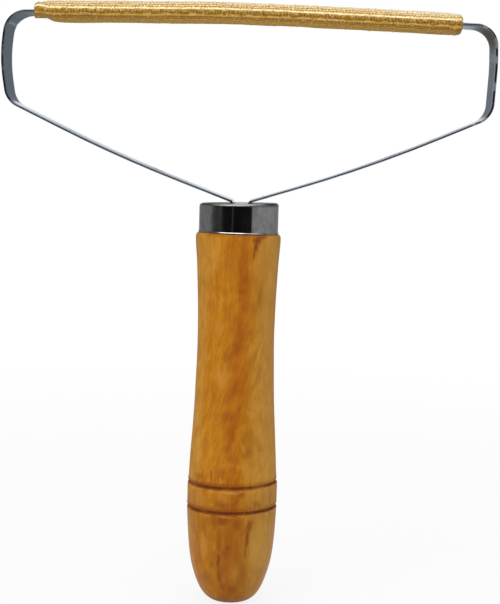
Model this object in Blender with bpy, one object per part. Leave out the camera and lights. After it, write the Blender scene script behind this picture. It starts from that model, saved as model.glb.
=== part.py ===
"""A hand-held lint remover: a turned wooden handle, a chromed ferrule, and a bent flat strip that carries a padded
sleeve of metal mesh. Metres, +Z up along the handle, the butt's small flat on Z = 0, the head's front facing -Y."""

import math

import bmesh
import bpy
from mathutils import Matrix, Vector

# Clearances
SEAT_GAP = 0.0003
CUT_OVERRUN = 0.002

# Handle
HANDLE_LENGTH = 0.10587
BUTT_FLAT_RADIUS = 0.0018
BAND_RADIUS = 0.0128
WAIST_RADIUS = 0.01089
SHOULDER_RADIUS = 0.01196
LOWER_GROOVE_HEIGHT = 0.02805
UPPER_GROOVE_HEIGHT = 0.0351
GROOVE_WIDTH = 0.0012
GROOVE_DEPTH = 0.0006
TENON_CHAMFER = 0.0005
# Heights are shares of the way up to the lower groove, radii are shares of the band's radius.
DOME_SHARES = ((0.0025, 0.235), (0.0075, 0.34), (0.0157, 0.426), (0.0353, 0.502), (0.0638, 0.577), (0.103, 0.645),
               (0.16, 0.7165), (0.2314, 0.78), (0.324, 0.8455), (0.431, 0.902), (0.556, 0.943), (0.698, 0.97),
               (0.859, 0.9905))
# Heights are shares of the way from the upper groove to the handle's end. Radii are shares of the way out from the
# waist's radius: to the band's below the waist, to the shoulder's above it.
GRIP_SHARES = ((0.04, 0.85), (0.15, 0.61), (0.28, 0.33), (0.43, 0.1), (0.58, 0.0))
NECK_SHARES = ((0.734, 0.17), (0.855, 0.47), (0.935, 0.82), (0.974, 0.98), (0.9863, 1.0), (0.992, 0.85), (0.9962, 0.57))
NECK_END_SHARE = 0.02

# Ferrule
FERRULE_RADIUS = 0.01118
FERRULE_HEIGHT = 0.00803
FERRULE_WALL = 0.0005
FERRULE_EDGE_RADIUS = 0.0009
FERRULE_RIM_RADIUS = 0.00018

# Frame strip
STRIP_WIDTH = 0.013
STRIP_THICKNESS = 0.0007
STRIP_EDGE_BEVEL = 0.00014
HEAD_HALF_WIDTH = 0.0693
HEAD_HEIGHT = 0.0515
HEAD_OFFSET = 0.0006
TANG_SPACING = 0.0049
TANG_LENGTH = 0.024
TANG_FOOT_RISE = 0.0006
TANG_BEND = 0.0008
ARM_BEND = 0.4
LEFT_LOWER_BEND = 0.0057
LEFT_SIDE_BEND = 0.043
LEFT_UPPER_BEND = 0.0062
BAR_BEND = 0.8
RIGHT_UPPER_BEND = 0.0058
RIGHT_SIDE_BEND = 0.059
RIGHT_LOWER_BEND = 0.0059
# Where the strip's bends lie, hand-bent and so not quite alike on the two sides: shares of the head's half width out
# from its middle, and shares of its height above the ferrule.
LEFT_ARM_SHARES = (-0.489, 0.234)
LEFT_LOWER_SHARES = (-0.943, 0.522)
LEFT_SIDE_SHARES = (-0.97, 0.753)
LEFT_UPPER_SHARES = (-0.945, 0.9975)
BAR_SHARES = (-0.027, 1.016)
RIGHT_UPPER_SHARES = (0.9935, 0.977)
RIGHT_SIDE_SHARES = (0.998, 0.7655)
RIGHT_LOWER_SHARES = (0.9875, 0.496)
RIGHT_ARM_SHARES = (0.5065, 0.2115)

# Wedge between the tangs
WEDGE_WIDTH = 0.012
WEDGE_LENGTH = 0.02
WEDGE_TIP_SHARE = 0.6

# Mesh sleeve and the pads inside it
MESH_WALL = 0.0005
SLEEVE_RISE = 0.00345
SLEEVE_DROP = 0.0025
SLEEVE_END_CLEARANCE = 0.0003
LEFT_BARE_LENGTH = 0.0076
RIGHT_BARE_LENGTH = 0.0095
LEFT_TOP_ROUNDING = 0.0018
LEFT_UNDER_TAPER = 0.0072
RIGHT_ROUNDING = 0.0026
PAD_SETBACK = 0.0045

# Facets
TURNED_STEPS = 48
BEND_STEP = math.radians(7)
LEAST_BEND_STEPS = 5
EDGE_STEPS = 4
NOSE_STEPS = 4
SIDE_STEPS = 5
END_STEPS = 5
PAD_STEPS = 6
SMOOTH_ANGLE = math.radians(35)

FERRULE_BASE = HANDLE_LENGTH + SEAT_GAP
FERRULE_TOP = FERRULE_BASE + FERRULE_HEIGHT
TENON_RADIUS = FERRULE_RADIUS - FERRULE_WALL - SEAT_GAP
TENON_TOP = FERRULE_TOP - FERRULE_WALL - SEAT_GAP
TANG_BOTTOM = FERRULE_TOP - TANG_LENGTH
SLOT_WIDTH = STRIP_WIDTH + 2 * SEAT_GAP
SLOT_THICKNESS = STRIP_THICKNESS + 2 * SEAT_GAP
SLEEVE_NOSE = STRIP_THICKNESS / 2 + SEAT_GAP + MESH_WALL
SLEEVE_HALF_WIDTH = STRIP_WIDTH / 2 + SEAT_GAP + MESH_WALL
SLEEVE_END_RISE = SLEEVE_NOSE + SLEEVE_END_CLEARANCE


def clear_scene():
    for old in list(bpy.data.objects):
        bpy.data.objects.remove(old, do_unlink=True)


def material(name, colour, roughness, metallic):
    made = bpy.data.materials.new(name)
    made.use_nodes = True
    shader = made.node_tree.nodes["Principled BSDF"]
    shader.inputs["Base Color"].default_value = (*colour, 1.0)
    shader.inputs["Roughness"].default_value = roughness
    shader.inputs["Metallic"].default_value = metallic
    made.diffuse_color = (*colour, 1.0)
    return made


def add_object(name, bm, surface):
    """Links a bmesh as an object, its faces pointing outwards and its round stretches shaded smooth."""
    bmesh.ops.recalc_face_normals(bm, faces=bm.faces)
    mesh = bpy.data.meshes.new(name)
    bm.to_mesh(mesh)
    bm.free()
    made = bpy.data.objects.new(name, mesh)
    bpy.context.scene.collection.objects.link(made)
    if surface is None:
        made.hide_render = True
        made.display_type = "WIRE"
        return made
    mesh.materials.append(surface)
    mesh.shade_smooth()
    mesh.set_sharp_from_angle(angle=SMOOTH_ANGLE)
    return made


def cut(target, cutter):
    boolean = target.modifiers.new("Cut " + cutter.name, "BOOLEAN")
    boolean.operation = "DIFFERENCE"
    boolean.object = cutter


def block(name, low, high):
    """A hidden box to cut with."""
    bm = bmesh.new()
    bmesh.ops.create_cube(bm, size=1.0)
    size = Vector(high) - Vector(low)
    middle = (Vector(high) + Vector(low)) / 2
    bmesh.ops.transform(bm, matrix=Matrix.Translation(middle) @ Matrix.Diagonal((*size, 1.0)), verts=bm.verts)
    return add_object(name, bm, None)


def turned(name, outline, surface):
    """Spins (radius, height) points about the handle's axis."""
    bm = bmesh.new()
    verts = [bm.verts.new((radius, 0.0, height)) for radius, height in outline]
    edges = [bm.edges.new(pair) for pair in zip(verts, verts[1:])]
    if outline[0][0] > 0.0:
        edges.append(bm.edges.new((verts[-1], verts[0])))
    bmesh.ops.spin(bm, geom=verts + edges, cent=(0.0, 0.0, 0.0), axis=(0.0, 0.0, 1.0), angle=math.tau,
                   steps=TURNED_STEPS, use_merge=True)
    bmesh.ops.remove_doubles(bm, verts=bm.verts, dist=STRIP_THICKNESS / 100)
    return add_object(name, bm, surface)


def arc(centre, radius, start, end, steps):
    """Points of an arc, its ends among them."""
    angles = [start + (end - start) * step / steps for step in range(steps + 1)]
    return [(centre[0] + radius * math.cos(a), centre[1] + radius * math.sin(a)) for a in angles]


def loft(name, rings, surface, capped=True):
    """Skins rings of points."""
    bm = bmesh.new()
    loops = []
    for ring in rings:
        verts = [bm.verts.new(point) for point in ring]
        loops.append([bm.edges.new((verts[i - 1], verts[i])) for i in range(len(verts))])
    for first, second in zip(loops, loops[1:]):
        bmesh.ops.bridge_loops(bm, edges=first + second)
    if capped:
        bmesh.ops.edgeloop_fill(bm, edges=loops[0])
        bmesh.ops.edgeloop_fill(bm, edges=loops[-1])
    return add_object(name, bm, surface)


def thicken(target, thickness, offset):
    """Gives a sheet its wall: offset -1 puts all of it inside, 0 half of it on each side."""
    solidify = target.modifiers.new("Thickness", "SOLIDIFY")
    solidify.thickness = thickness
    solidify.offset = offset
    solidify.use_even_offset = True


def groove(height):
    """A V groove's three points in the handle's outline, from the bottom up."""
    return [
        (BAND_RADIUS, height - GROOVE_WIDTH / 2),
        (BAND_RADIUS - GROOVE_DEPTH, height),
        (BAND_RADIUS, height + GROOVE_WIDTH / 2),
    ]


def handle_outline():
    points = [(0.0, 0.0), (BUTT_FLAT_RADIUS, 0.0)]
    points += [(radius * BAND_RADIUS, height * LOWER_GROOVE_HEIGHT) for height, radius in DOME_SHARES]
    points += groove(LOWER_GROOVE_HEIGHT) + groove(UPPER_GROOVE_HEIGHT)
    grip_length = HANDLE_LENGTH - UPPER_GROOVE_HEIGHT
    for shares, radius in ((GRIP_SHARES, BAND_RADIUS), (NECK_SHARES, SHOULDER_RADIUS)):
        for height_share, radius_share in shares:
            out = WAIST_RADIUS + radius_share * (radius - WAIST_RADIUS)
            points.append((out, UPPER_GROOVE_HEIGHT + height_share * grip_length))
    neck_radius = WAIST_RADIUS + NECK_END_SHARE * (SHOULDER_RADIUS - WAIST_RADIUS)
    points += [
        (neck_radius, HANDLE_LENGTH),
        (TENON_RADIUS, HANDLE_LENGTH),
        (TENON_RADIUS, TENON_TOP - TENON_CHAMFER),
        (TENON_RADIUS - TENON_CHAMFER, TENON_TOP),
        (0.0, TENON_TOP),
    ]
    return points


def make_handle(wood):
    handle = turned("handle", handle_outline(), wood)
    half_mortise = (TANG_SPACING + SLOT_THICKNESS) / 2
    mortise = block(
        "mortise_cutter",
        (HEAD_OFFSET - half_mortise, -SLOT_WIDTH / 2, TANG_BOTTOM - SEAT_GAP),
        (HEAD_OFFSET + half_mortise, SLOT_WIDTH / 2, TENON_TOP + CUT_OVERRUN),
    )
    cut(handle, mortise)


def make_ferrule(chrome):
    """A drawn cup, open below, with a slot in its top for each tang."""
    inner = FERRULE_RADIUS - FERRULE_WALL
    ceiling = FERRULE_TOP - FERRULE_WALL
    edge = (FERRULE_RADIUS - FERRULE_EDGE_RADIUS, FERRULE_TOP - FERRULE_EDGE_RADIUS)
    inner_radius = FERRULE_EDGE_RADIUS - FERRULE_WALL
    rim = (FERRULE_RADIUS - FERRULE_RIM_RADIUS, FERRULE_BASE + FERRULE_RIM_RADIUS)
    outline = [(0.0, ceiling)]
    outline += arc(edge, inner_radius, math.pi / 2, 0.0, EDGE_STEPS)
    outline += [(inner, FERRULE_BASE)]
    outline += arc(rim, FERRULE_RIM_RADIUS, -math.pi / 2, 0.0, EDGE_STEPS)
    outline += arc(edge, FERRULE_EDGE_RADIUS, 0.0, math.pi / 2, EDGE_STEPS)
    outline += [(0.0, FERRULE_TOP)]
    ferrule = turned("ferrule", outline, chrome)
    for side, name in ((-1, "left_slot_cutter"), (1, "right_slot_cutter")):
        middle = HEAD_OFFSET + side * TANG_SPACING / 2
        slot = block(
            name,
            (middle - SLOT_THICKNESS / 2, -SLOT_WIDTH / 2, ceiling - CUT_OVERRUN),
            (middle + SLOT_THICKNESS / 2, SLOT_WIDTH / 2, FERRULE_TOP + CUT_OVERRUN),
        )
        cut(ferrule, slot)


def head_point(shares):
    return Vector((HEAD_OFFSET + shares[0] * HEAD_HALF_WIDTH, FERRULE_TOP + shares[1] * HEAD_HEIGHT))


def strip_bends():
    """The corners of the strip's middle line, as (x, z), with the radius of each bend, from the left tang round."""
    left, right = HEAD_OFFSET - TANG_SPACING / 2, HEAD_OFFSET + TANG_SPACING / 2
    foot = FERRULE_TOP + TANG_FOOT_RISE
    return [
        (Vector((left, TANG_BOTTOM)), 0.0),
        (Vector((left, foot)), TANG_BEND),
        (head_point(LEFT_ARM_SHARES), ARM_BEND),
        (head_point(LEFT_LOWER_SHARES), LEFT_LOWER_BEND),
        (head_point(LEFT_SIDE_SHARES), LEFT_SIDE_BEND),
        (head_point(LEFT_UPPER_SHARES), LEFT_UPPER_BEND),
        (head_point(BAR_SHARES), BAR_BEND),
        (head_point(RIGHT_UPPER_SHARES), RIGHT_UPPER_BEND),
        (head_point(RIGHT_SIDE_SHARES), RIGHT_SIDE_BEND),
        (head_point(RIGHT_LOWER_SHARES), RIGHT_LOWER_BEND),
        (head_point(RIGHT_ARM_SHARES), ARM_BEND),
        (Vector((right, foot)), TANG_BEND),
        (Vector((right, TANG_BOTTOM)), 0.0),
    ]


def bent_line(bends):
    """Straight runs joined by arcs that touch them, as points."""
    points = [bends[0][0]]
    for (before, _), (corner, radius), (after, _) in zip(bends, bends[1:], bends[2:]):
        back, onward = (before - corner).normalized(), (after - corner).normalized()
        turn = math.pi - back.angle(onward)
        run = radius * math.tan(turn / 2)
        centre = corner + (back + onward).normalized() * radius / math.cos(turn / 2)
        steps = max(LEAST_BEND_STEPS, math.ceil(turn / BEND_STEP))
        spoke = corner + back * run - centre
        side = 1 if spoke.cross(onward) > 0 else -1
        for step in range(steps + 1):
            angle = side * turn * step / steps
            swung = Vector((
                spoke.x * math.cos(angle) - spoke.y * math.sin(angle),
                spoke.x * math.sin(angle) + spoke.y * math.cos(angle),
            ))
            points.append(centre + swung)
    points.append(bends[-1][0])
    return points


def make_frame_strip(steel):
    """One flat strip: its line, drawn out to the strip's width and thickened both ways."""
    bm = bmesh.new()
    verts = [bm.verts.new((p.x, -STRIP_WIDTH / 2, p.y)) for p in bent_line(strip_bends())]
    edges = [bm.edges.new(pair) for pair in zip(verts, verts[1:])]
    drawn = bmesh.ops.extrude_edge_only(bm, edges=edges)
    moved = [part for part in drawn["geom"] if isinstance(part, bmesh.types.BMVert)]
    bmesh.ops.translate(bm, verts=moved, vec=(0.0, STRIP_WIDTH, 0.0))
    strip = add_object("frame_strip", bm, steel)
    thicken(strip, STRIP_THICKNESS, 0.0)
    bevel = strip.modifiers.new("Broken edges", "BEVEL")
    bevel.width = STRIP_EDGE_BEVEL
    bevel.segments = 2
    bevel.limit_method = "ANGLE"
    bevel.angle_limit = SMOOTH_ANGLE * 2


def make_wedge(wood):
    """Fills the mortise between the tangs, with its lower end tapered to start it."""
    half = (TANG_SPACING - STRIP_THICKNESS) / 2 - SEAT_GAP
    top = TENON_TOP - SEAT_GAP
    stations = ((top, half), (top - WEDGE_LENGTH / 2, half), (top - WEDGE_LENGTH, half * WEDGE_TIP_SHARE))
    rings = []
    for height, reach in stations:
        corners = ((-reach, -1), (reach, -1), (reach, 1), (-reach, 1))
        rings.append([(HEAD_OFFSET + x, y * WEDGE_WIDTH / 2, height) for x, y in corners])
    loft("tang_wedge", rings, wood)


def bar_place(x):
    """(the point on the bar's middle line at x, the line's direction there)"""
    line = [p for p in bent_line(strip_bends()) if p.y > FERRULE_TOP + HEAD_HEIGHT / 2]
    before, after = next((a, b) for a, b in zip(line, line[1:]) if a.x <= x <= b.x)
    share = (x - before.x) / (after.x - before.x)
    return before.lerp(after, share), (after - before).normalized()


def bar_ends():
    left = head_point(LEFT_UPPER_SHARES).x + LEFT_BARE_LENGTH
    right = head_point(RIGHT_UPPER_SHARES).x - RIGHT_BARE_LENGTH
    return left, right


def lens_half(half_width, rise, nose):
    """The upper half of the sleeve's section, from +Y over to -Y: a nose arc, one long arc and a nose arc."""
    reach = half_width - nose
    radius = (reach**2 + rise**2 - nose**2) / (2 * (rise - nose))
    lean = math.atan2(reach, radius - rise)
    start, end = math.pi / 2 - lean, math.pi / 2 + lean
    points = arc((reach, 0.0), nose, 0.0, start, NOSE_STEPS)
    points += arc((0.0, rise - radius), radius, start, end, 2 * SIDE_STEPS)[1:]
    points += arc((-reach, 0.0), nose, end, math.pi, NOSE_STEPS)[1:]
    return points


def lens(half_width, rise, drop, nose):
    """The sleeve's whole section: a deeper half above the strip, a shallower one under it."""
    upper = lens_half(half_width, rise, nose)
    lower = [(y, -z) for y, z in reversed(lens_half(half_width, drop, nose))]
    return upper + lower[1:-1]


def across(place, section):
    """Sets a (y, z) section square to the bar at one of its stations."""
    point, along = place
    return [(point.x - z * along.y, y, point.y + z * along.x) for y, z in section]


def rounded_in(distance, length):
    """0 at a rounded end and 1 from its length on, along a quarter circle."""
    share = min(max(distance / length, 0.0), 1.0)
    return math.sqrt(1.0 - (1.0 - share) ** 2)


def eased_in(distance, length):
    """0 at a tapered end and 1 from its length on, with a soft start and finish."""
    share = min(max(distance / length, 0.0), 1.0)
    return share * share * (3.0 - 2.0 * share)


def sleeve_size(x):
    """The section's rise and drop at x, drawn in to the strip at the sleeve's two ends."""
    left, right = bar_ends()
    at_right = rounded_in(right - x, RIGHT_ROUNDING)
    over = rounded_in(x - left, LEFT_TOP_ROUNDING) * at_right
    under = eased_in(x - left, LEFT_UNDER_TAPER) * at_right
    rise = SLEEVE_END_RISE + (SLEEVE_RISE - SLEEVE_END_RISE) * over
    drop = SLEEVE_END_RISE + (SLEEVE_DROP - SLEEVE_END_RISE) * under
    return rise, drop


def sleeve_stations():
    """Places along the sleeve, close together where its ends are rounded."""
    left, right = bar_ends()
    shares = [1.0 - math.cos(math.pi / 2 * step / END_STEPS) for step in range(END_STEPS + 1)]
    places = [left + LEFT_UNDER_TAPER * share for share in shares]
    places += [right - RIGHT_ROUNDING * share for share in reversed(shares)]
    inner_left, inner_right = left + LEFT_UNDER_TAPER, right - RIGHT_ROUNDING
    between = [inner_left + (inner_right - inner_left) * step / PAD_STEPS for step in range(1, PAD_STEPS)]
    return sorted(places + between)


def make_sleeve(brass):
    """A knitted tube with a real wall, drawn in round the bare strip at both ends."""
    rings = []
    for x in sleeve_stations():
        rise, drop = sleeve_size(x)
        rings.append(across(bar_place(x), lens(SLEEVE_HALF_WIDTH, rise, drop, SLEEVE_NOSE)))
    sleeve = loft("mesh_sleeve", rings, brass, capped=False)
    thicken(sleeve, MESH_WALL, -1.0)


def make_pad(name, depth, side, felt):
    """A felt strip on one face of the bar, shaped to the inside of the sleeve. side is 1 above and -1 below."""
    inset = MESH_WALL + SEAT_GAP
    rise, nose = depth - inset, SLEEVE_NOSE - inset
    reach = SLEEVE_HALF_WIDTH - SLEEVE_NOSE
    radius = (reach**2 + rise**2 - nose**2) / (2 * (rise - nose))
    floor = STRIP_THICKNESS / 2 + SEAT_GAP
    lean = math.acos((radius - rise + floor) / radius)
    section = arc((0.0, rise - radius), radius, math.pi / 2 - lean, math.pi / 2 + lean, 2 * SIDE_STEPS)
    left, right = bar_ends()
    start, end = left + LEFT_UNDER_TAPER, right - PAD_SETBACK
    places = [bar_place(start + (end - start) * step / PAD_STEPS) for step in range(PAD_STEPS + 1)]
    loft(name, [across(place, [(y, side * z) for y, z in section]) for place in places], felt)


def main():
    clear_scene()
    wood = material("Varnished wood", (0.45, 0.17, 0.012), 0.35, 0.0)
    chrome = material("Chrome plate", (0.55, 0.56, 0.58), 0.08, 1.0)
    steel = material("Bright steel", (0.5, 0.52, 0.55), 0.2, 1.0)
    brass = material("Brass mesh", (0.78, 0.57, 0.22), 0.4, 1.0)
    felt = material("Felt", (0.3, 0.27, 0.22), 0.9, 0.0)
    pale_wood = material("Wedge wood", (0.55, 0.36, 0.17), 0.7, 0.0)
    make_handle(wood)
    make_ferrule(chrome)
    make_frame_strip(steel)
    make_wedge(pale_wood)
    make_sleeve(brass)
    make_pad("upper_pad", SLEEVE_RISE, 1, felt)
    make_pad("lower_pad", SLEEVE_DROP, -1, felt)


main()
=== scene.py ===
import math

import bmesh
import bpy
from bpy.props import FloatProperty, FloatVectorProperty, IntProperty, PointerProperty
from mathutils import Matrix, Vector, noise


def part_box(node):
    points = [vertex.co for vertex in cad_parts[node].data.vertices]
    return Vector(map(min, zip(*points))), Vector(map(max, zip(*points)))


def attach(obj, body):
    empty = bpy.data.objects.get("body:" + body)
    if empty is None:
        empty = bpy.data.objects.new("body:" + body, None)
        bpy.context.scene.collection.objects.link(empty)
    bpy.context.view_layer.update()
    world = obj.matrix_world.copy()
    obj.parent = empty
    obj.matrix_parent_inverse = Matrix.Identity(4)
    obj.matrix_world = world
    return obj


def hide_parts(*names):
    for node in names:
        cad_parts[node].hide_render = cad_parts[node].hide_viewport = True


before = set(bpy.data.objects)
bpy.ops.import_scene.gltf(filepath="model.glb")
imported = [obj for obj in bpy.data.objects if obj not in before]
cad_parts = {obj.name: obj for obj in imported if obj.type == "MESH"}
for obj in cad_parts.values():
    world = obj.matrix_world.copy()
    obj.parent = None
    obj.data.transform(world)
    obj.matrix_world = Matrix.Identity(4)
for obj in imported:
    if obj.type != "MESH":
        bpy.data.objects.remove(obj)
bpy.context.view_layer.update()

bl_info = {
    "name": "Lint Remover",
    "version": (1, 0, 0),
    "blender": (4, 5, 0),
    "location": "3D View > Sidebar > Lint Remover",
    "description": "Dresses a hand-held lint remover: wooden handle, chromed ferrule, bent strip, mesh sleeve",
    "category": "Object",
}

MM = 0.001

# The camera that the photograph was taken with, in the frame's own axes.
CAMERA_PLACE = (12.590 * MM, -400.0 * MM, 125.215 * MM)
CAMERA_SWING, CAMERA_DIP, CAMERA_ROLL = 1.266, 5.554, 1.472
CAMERA_LENS = 84.5

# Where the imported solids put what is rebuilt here.
FERRULE_BASE, FERRULE_TOP = (corner.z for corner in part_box("ferrule"))
SLEEVE_LOW, SLEEVE_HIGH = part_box("mesh_sleeve")
TENON_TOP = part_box("handle")[1].z
TANG_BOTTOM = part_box("frame_strip")[0].z
HEAD_OFFSET, TANG_FROM_MIDDLE = 0.6 * MM, 2.45 * MM
SEAT_GAP = 0.3 * MM

# The handle's outline as (height, radius) in millimetres, up to the shoulder under the ferrule.
TURNED_OUTLINE = (
    (0, 1.8), (0.07, 3), (0.21, 4.35), (0.44, 5.45), (0.99, 6.42), (1.79, 7.38), (2.89, 8.25), (4.49, 9.15),
    (6.49, 9.98), (9.09, 10.82), (12.09, 11.54), (15.59, 12.06), (19.59, 12.42), (24.09, 12.68), (26.7, 12.78),
    (29.8, 12.81), (32, 12.81), (33.8, 12.83), (36.1, 12.61), (38, 12.47), (40.6, 12.33), (46.4, 12.01), (52.2, 11.64),
    (58, 11.35), (63.6, 11.16), (69.6, 10.98), (78.1, 10.88), (86.6, 11.05), (92.3, 11.27), (98, 11.55),
    (100.8, 11.77), (103.2, 11.95), (104.3, 11.97), (104.9, 11.95), (105.3, 11.82), (105.6, 11.55), (105.78, 11.25),
    (105.87, 10.95),
)
TENON_RADIUS, TENON_CHAMFER = 10.38 * MM, 0.5 * MM
GROOVES, GROOVE_STEPS = (28.05, 35.1), 18
# The grooves and the ferrule's two edges aren't quite square to the handle: rise per length across.
GROOVE_TILT, FERRULE_BASE_TILT, FERRULE_TOP_TILT = 0.0226, -0.0098, 0.0226

# The strip's corners as (x, z, bend radius) in millimetres, from one tang round the head to the other.
STRIP_CORNERS = (
    (-1.85, None, 0.0), (-1.85, 114.8, 0.8), (-33.29, 126.25, 400.0), (-64.75, 141.08, 5.7),
    (-66.62, 152.98, 43.0), (-64.89, 165.57, 6.2), (-1.27, 166.52, 800.0), (69.45, 164.52, 5.8),
    (69.76, 153.62, 59.0), (69.03, 139.74, 5.9), (35.7, 125.09, 400.0), (3.05, 114.8, 0.8), (3.05, None, 0.0),
)
BEND_STEP = math.radians(2.5)
RUN_STEP = 2.0 * MM
# The strip above this height counts as the bar: its long run and most of the bends at its two ends.
BAR_LOWEST = 159.1 * MM

# How far the sleeve stands above and hangs below the bar, by millimetres in from its left end.
LEFT_END = (
    (0, 1.5, 0.85), (0.15, 1.85, 0.9), (0.4, 2.15, 0.92), (0.9, 2.45, 0.92), (1.4, 2.75, 0.92), (2, 3.05, 0.92),
    (2.6, 3.25, 0.98), (3.1, 3.35, 1.2), (3.6, 3.4, 1.7), (4.2, 3.43, 2.15), (5, 3.45, 2.35), (6, 3.45, 2.45),
    (7, 3.45, 2.5),
)
# How much more roundly the mesh turns over the bar's edges at its two ends, where it is hemmed.
BLUNT_END = 1.3 * MM
# The ends are cut askew: at the back the mesh reaches this much further along the bar, to the left and to the right.
ASKEW_LEFT, ASKEW_RIGHT = 2.3 * MM, 1.3 * MM
NOSE_STEPS, CROWN_STEPS = 10, 22
# The right end is rounded over this length, down to this height above and below the bar, in millimetres.
RIGHT_ROUNDING, RIGHT_MOUTH = 3.8, 1.18


def srgb(red, green, blue):
    """A colour as a picture shows it, 0 to 255, as the linear colour a material takes."""
    def linear(value):
        value /= 255.0
        return value / 12.92 if value <= 0.04045 else ((value + 0.055) / 1.055) ** 2.4
    return linear(red), linear(green), linear(blue)


def size(name, description, default, low=0.0, high=1.0):
    return FloatProperty(name=name, description=description, default=default, min=low, max=high,
                         subtype="DISTANCE", unit="LENGTH", precision=5)


def colour(name, description, default):
    return FloatVectorProperty(name=name, description=description, default=default, size=3, min=0.0, max=1.0,
                               subtype="COLOR")


class HandleSettings(bpy.types.PropertyGroup):
    turned_steps: IntProperty(name="Steps Round", description="Faces round the turned wood", default=144, min=24,
                              max=256)
    groove_depth: size("Groove Depth", "How deep the two turned grooves go", 0.45 * MM, high=0.002)
    groove_width: size("Groove Width", "How wide the two turned grooves are", 1.2 * MM, high=0.004)
    lip_chips: size("Lip Chips", "How far the grooves' lips are chipped back", 0.2 * MM, high=0.001)
    pale_wood: colour("Pale Wood", "The sapwood at the sides", srgb(198, 144, 46))
    amber_wood: colour("Amber Wood", "The wood between the sides and the middle", srgb(192, 128, 6))
    heart_wood: colour("Heart Wood", "The darker band down the middle", srgb(186, 114, 0))
    # Its colour also paints the shadow under the ferrule's rim.
    stain: colour("Stain", "Reddish dark patches in the figure", srgb(132, 66, 4))
    burnt: colour("Burnt Wood", "The scorched bottoms of the grooves", srgb(108, 54, 8))


class FerruleSettings(bpy.types.PropertyGroup):
    radius: size("Radius", "The ferrule's outside radius", 11.18 * MM, high=0.02)
    wall: size("Wall", "Thickness of the drawn metal", 0.5 * MM, high=0.002)
    edge_radius: size("Top Edge", "Radius of the softened top edge", 0.95 * MM, high=0.003)
    flare: size("Flared Rim", "How far the lower rim flares out", 0.2 * MM, high=0.001)
    chrome: colour("Chrome", "The plated surface", srgb(206, 207, 208))


class StripSettings(bpy.types.PropertyGroup):
    width: size("Width", "The strip's width, front to back", 13.0 * MM, high=0.03)
    thickness: size("Thickness", "The strip's thickness", 0.7 * MM, high=0.003)
    edge_round: size("Edge Rounding", "Radius of the strip's rounded edges", 0.31 * MM, high=0.001)
    steel: colour("Steel", "The bright strip", srgb(142, 151, 160))


class SleeveSettings(bpy.types.PropertyGroup):
    rise: size("Rise", "How far the sleeve stands above the bar's middle line", 3.45 * MM, high=0.01)
    drop: size("Drop", "How far it hangs below the bar's middle line", 2.5 * MM, high=0.01)
    half_width: size("Half Width", "Half of the sleeve's depth, front to back", 7.3 * MM, high=0.02)
    nose: size("Nose", "Radius where the mesh turns over the strip's edges", 1.3 * MM, high=0.005)
    wall: size("Wall", "Thickness of the knitted mesh", 0.5 * MM, high=0.002)
    stitch: size("Stitch", "Length of one stitch along the bar", 0.85 * MM, high=0.005)
    stitch_rise: size("Stitch Rise", "How far a stitch stands out", 0.075 * MM, high=0.001)
    wales: IntProperty(name="Wales", description="Rows of stitches round the sleeve", default=40, min=8, max=60)
    brass: colour("Brass", "The mesh's wire", srgb(250, 220, 152))
    tarnish: colour("Tarnish", "Between the wires", srgb(184, 142, 62))
    felt: colour("Felt", "The pads inside", srgb(150, 142, 128))


class StudioSettings(bpy.types.PropertyGroup):
    floor: colour("Floor", "The pale floor", srgb(224, 224, 226))
    ambient: FloatProperty(name="Ambient", description="The studio's even light", default=0.62, min=0.0, max=2.0)
    overhead: FloatProperty(name="Overhead Light", description="The large soft light above, in watts", default=3.4,
                            min=0.0, max=50.0)
    fill: FloatProperty(name="Fill Light", description="The soft light at the front left, in watts", default=1.9,
                        min=0.0, max=50.0)


# Meshes

def linked(name, data):
    """A new object in the scene."""
    made = bpy.data.objects.new(name, data)
    bpy.context.scene.collection.objects.link(made)
    return made


def mesh_from(name, bm):
    mesh = bpy.data.meshes.new(name)
    bm.to_mesh(mesh)
    bm.free()
    return mesh


def finished(name, bm, surface, replaced=()):
    """Makes a bmesh a piece of the object: faces outwards, smooth, riding on the root body."""
    bmesh.ops.recalc_face_normals(bm, faces=bm.faces)
    return placed(name, mesh_from(name, bm), surface, replaced)


def placed(name, mesh, surface, replaced=()):
    piece = linked(name, mesh)
    mesh.materials.clear()
    mesh.materials.append(surface)
    mesh.shade_smooth()
    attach(piece, "root")
    if replaced:
        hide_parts(*replaced)
    return piece


def clamped(value):
    return min(max(value, 0.0), 1.0)


def smoothstep(low, high, value):
    held = clamped((value - low) / (high - low))
    return held * held * (3.0 - 2.0 * held)


def wobble(x, y, z):
    """Smooth noise at a point, about -1 to 1."""
    return noise.noise(Vector((x, y, z)))


def smooth_line(points, step):
    """Points on one smooth curve through the given ones, about a step apart."""
    points = [Vector(point) for point in points]
    at = [0.0]
    for before, after in zip(points, points[1:]):
        at.append(at[-1] + (after - before).length)
    slopes = [(points[1] - points[0]) / (at[1] - at[0])]
    slopes += [(points[i + 1] - points[i - 1]) / (at[i + 1] - at[i - 1]) for i in range(1, len(points) - 1)]
    slopes.append((points[-1] - points[-2]) / (at[-1] - at[-2]))
    line = []
    for i in range(len(points) - 1):
        span = at[i + 1] - at[i]
        count = max(1, round(span / step))
        for k in range(count):
            t = k / count
            line.append((2 * t**3 - 3 * t**2 + 1) * points[i] + (t**3 - 2 * t**2 + t) * span * slopes[i]
                        + (3 * t**2 - 2 * t**3) * points[i + 1] + (t**3 - t**2) * span * slopes[i + 1])
    line.append(points[-1])
    return line


def turned(outline, steps):
    """Spins (radius, height) points about the handle's axis, both ends closed at the axis."""
    bm = bmesh.new()
    verts = [bm.verts.new((radius, 0.0, height)) for radius, height in outline]
    edges = [bm.edges.new(pair) for pair in zip(verts, verts[1:])]
    bmesh.ops.spin(bm, geom=verts + edges, cent=(0.0, 0.0, 0.0), axis=(0.0, 0.0, 1.0), angle=math.tau, steps=steps,
                   use_merge=True)
    bmesh.ops.remove_doubles(bm, verts=bm.verts, dist=1e-6)
    return bm


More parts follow.
